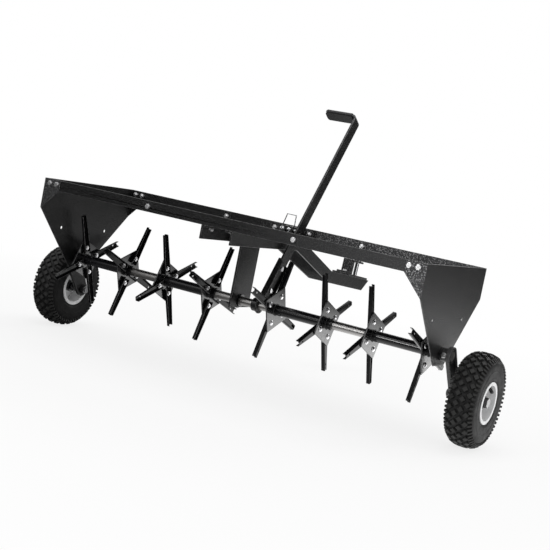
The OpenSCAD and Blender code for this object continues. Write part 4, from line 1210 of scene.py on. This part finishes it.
def weld_tree():
    bench, given, close = new_tree("weld_beads", Count="Int", Ring="Float", Bead="Float")
    circle = bench.node("GeometryNodeMeshCircle", {
        "Vertices": given.out("Count"), "Radius": given.out("Ring")})
    upright = move(bench, circle, Rotation=(0, math.pi / 2, 0))
    ball = bench.node("GeometryNodeMeshUVSphere", {
        "Segments": BEAD_SIDES, "Rings": BEAD_RINGS, "Radius": given.out("Bead")})
    puddles = bench.node("GeometryNodeInstanceOnPoints", {"Points": upright, "Instance": ball})
    rings = bench.node("GeometryNodeInstanceOnPoints", {
        "Points": given.out("Geometry"), "Instance": puddles})
    real = bench.node("GeometryNodeRealizeInstances", {0: rings})
    return close(bench.node("GeometryNodeSetShadeSmooth", {"Geometry": real}))


welds = weld_tree()
for reel, spider_places in SPIDERS.items():
    shaft_place = joints[f"{reel}_reel_spin"]["pos_m"]
    faces = [x + side * SPIDER_HALF_T for x in spider_places for side in (-1, 1)]
    weld_points = points_mesh(f"{reel}_weld_points", [(x, shaft_place[1], shaft_place[2]) for x in faces])
    beads = grow(f"{reel}_welds", welds, weld_points, "gloss_black",
                 Count=WELD_COUNT, Ring=WELD_RING, Bead=WELD_BEAD)
    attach(beads, f"reel_{reel}")
    print(f"{beads.name}: {len(beads.data.polygons)} faces")

# %% [markdown]
# ## Lock spring
# The lock pin runs through a small compression spring between the bracket's ears. A Screw modifier could wind
# it, but a spiral curve with a round section is that spring in three nodes, and smoother than the solid
# that it stands for.

# %% Lock spring
SPRING_LOW, SPRING_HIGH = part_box("lock_spring")
SPRING_WIRE = 0.8 * MM
SPRING_TURNS = 6.0
TURN_STEPS = 32
WIRE_SIDES = 10
SPRING_R = (SPRING_HIGH.y - SPRING_LOW.y) / 2 - SPRING_WIRE
SPRING_LEN = SPRING_HIGH.x - SPRING_LOW.x - 2 * SPRING_WIRE


def spring_tree():
    bench, given, close = new_tree(
        "spring", Turns="Float", Radius="Float", Length="Float", Wire="Float", Start="Vector")
    spiral = bench.node("GeometryNodeCurveSpiral", {
        "Resolution": TURN_STEPS, "Rotations": given.out("Turns"), "Start Radius": given.out("Radius"),
        "End Radius": given.out("Radius"), "Height": given.out("Length")})
    section = bench.node("GeometryNodeCurvePrimitiveCircle", {
        "Resolution": WIRE_SIDES, "Radius": given.out("Wire")})
    tube = bench.node("GeometryNodeCurveToMesh", {
        "Curve": spiral, "Profile Curve": section, "Fill Caps": True})
    return close(move(bench, tube, Rotation=(0, math.pi / 2, 0), Translation=given.out("Start")))


spring_start = (SPRING_LOW + SPRING_HIGH) / 2
spring_start.x = SPRING_LOW.x + SPRING_WIRE
spring = grow("lock_spring_wound", spring_tree(), points_mesh("spring_seed", [spring_start]), "chrome",
              Turns=SPRING_TURNS, Radius=SPRING_R, Length=SPRING_LEN, Wire=SPRING_WIRE, Start=spring_start)
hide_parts("lock_spring")
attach(spring, body_of_node["lock_spring"])
print(f"{spring.name}: {len(spring.data.polygons)} faces")
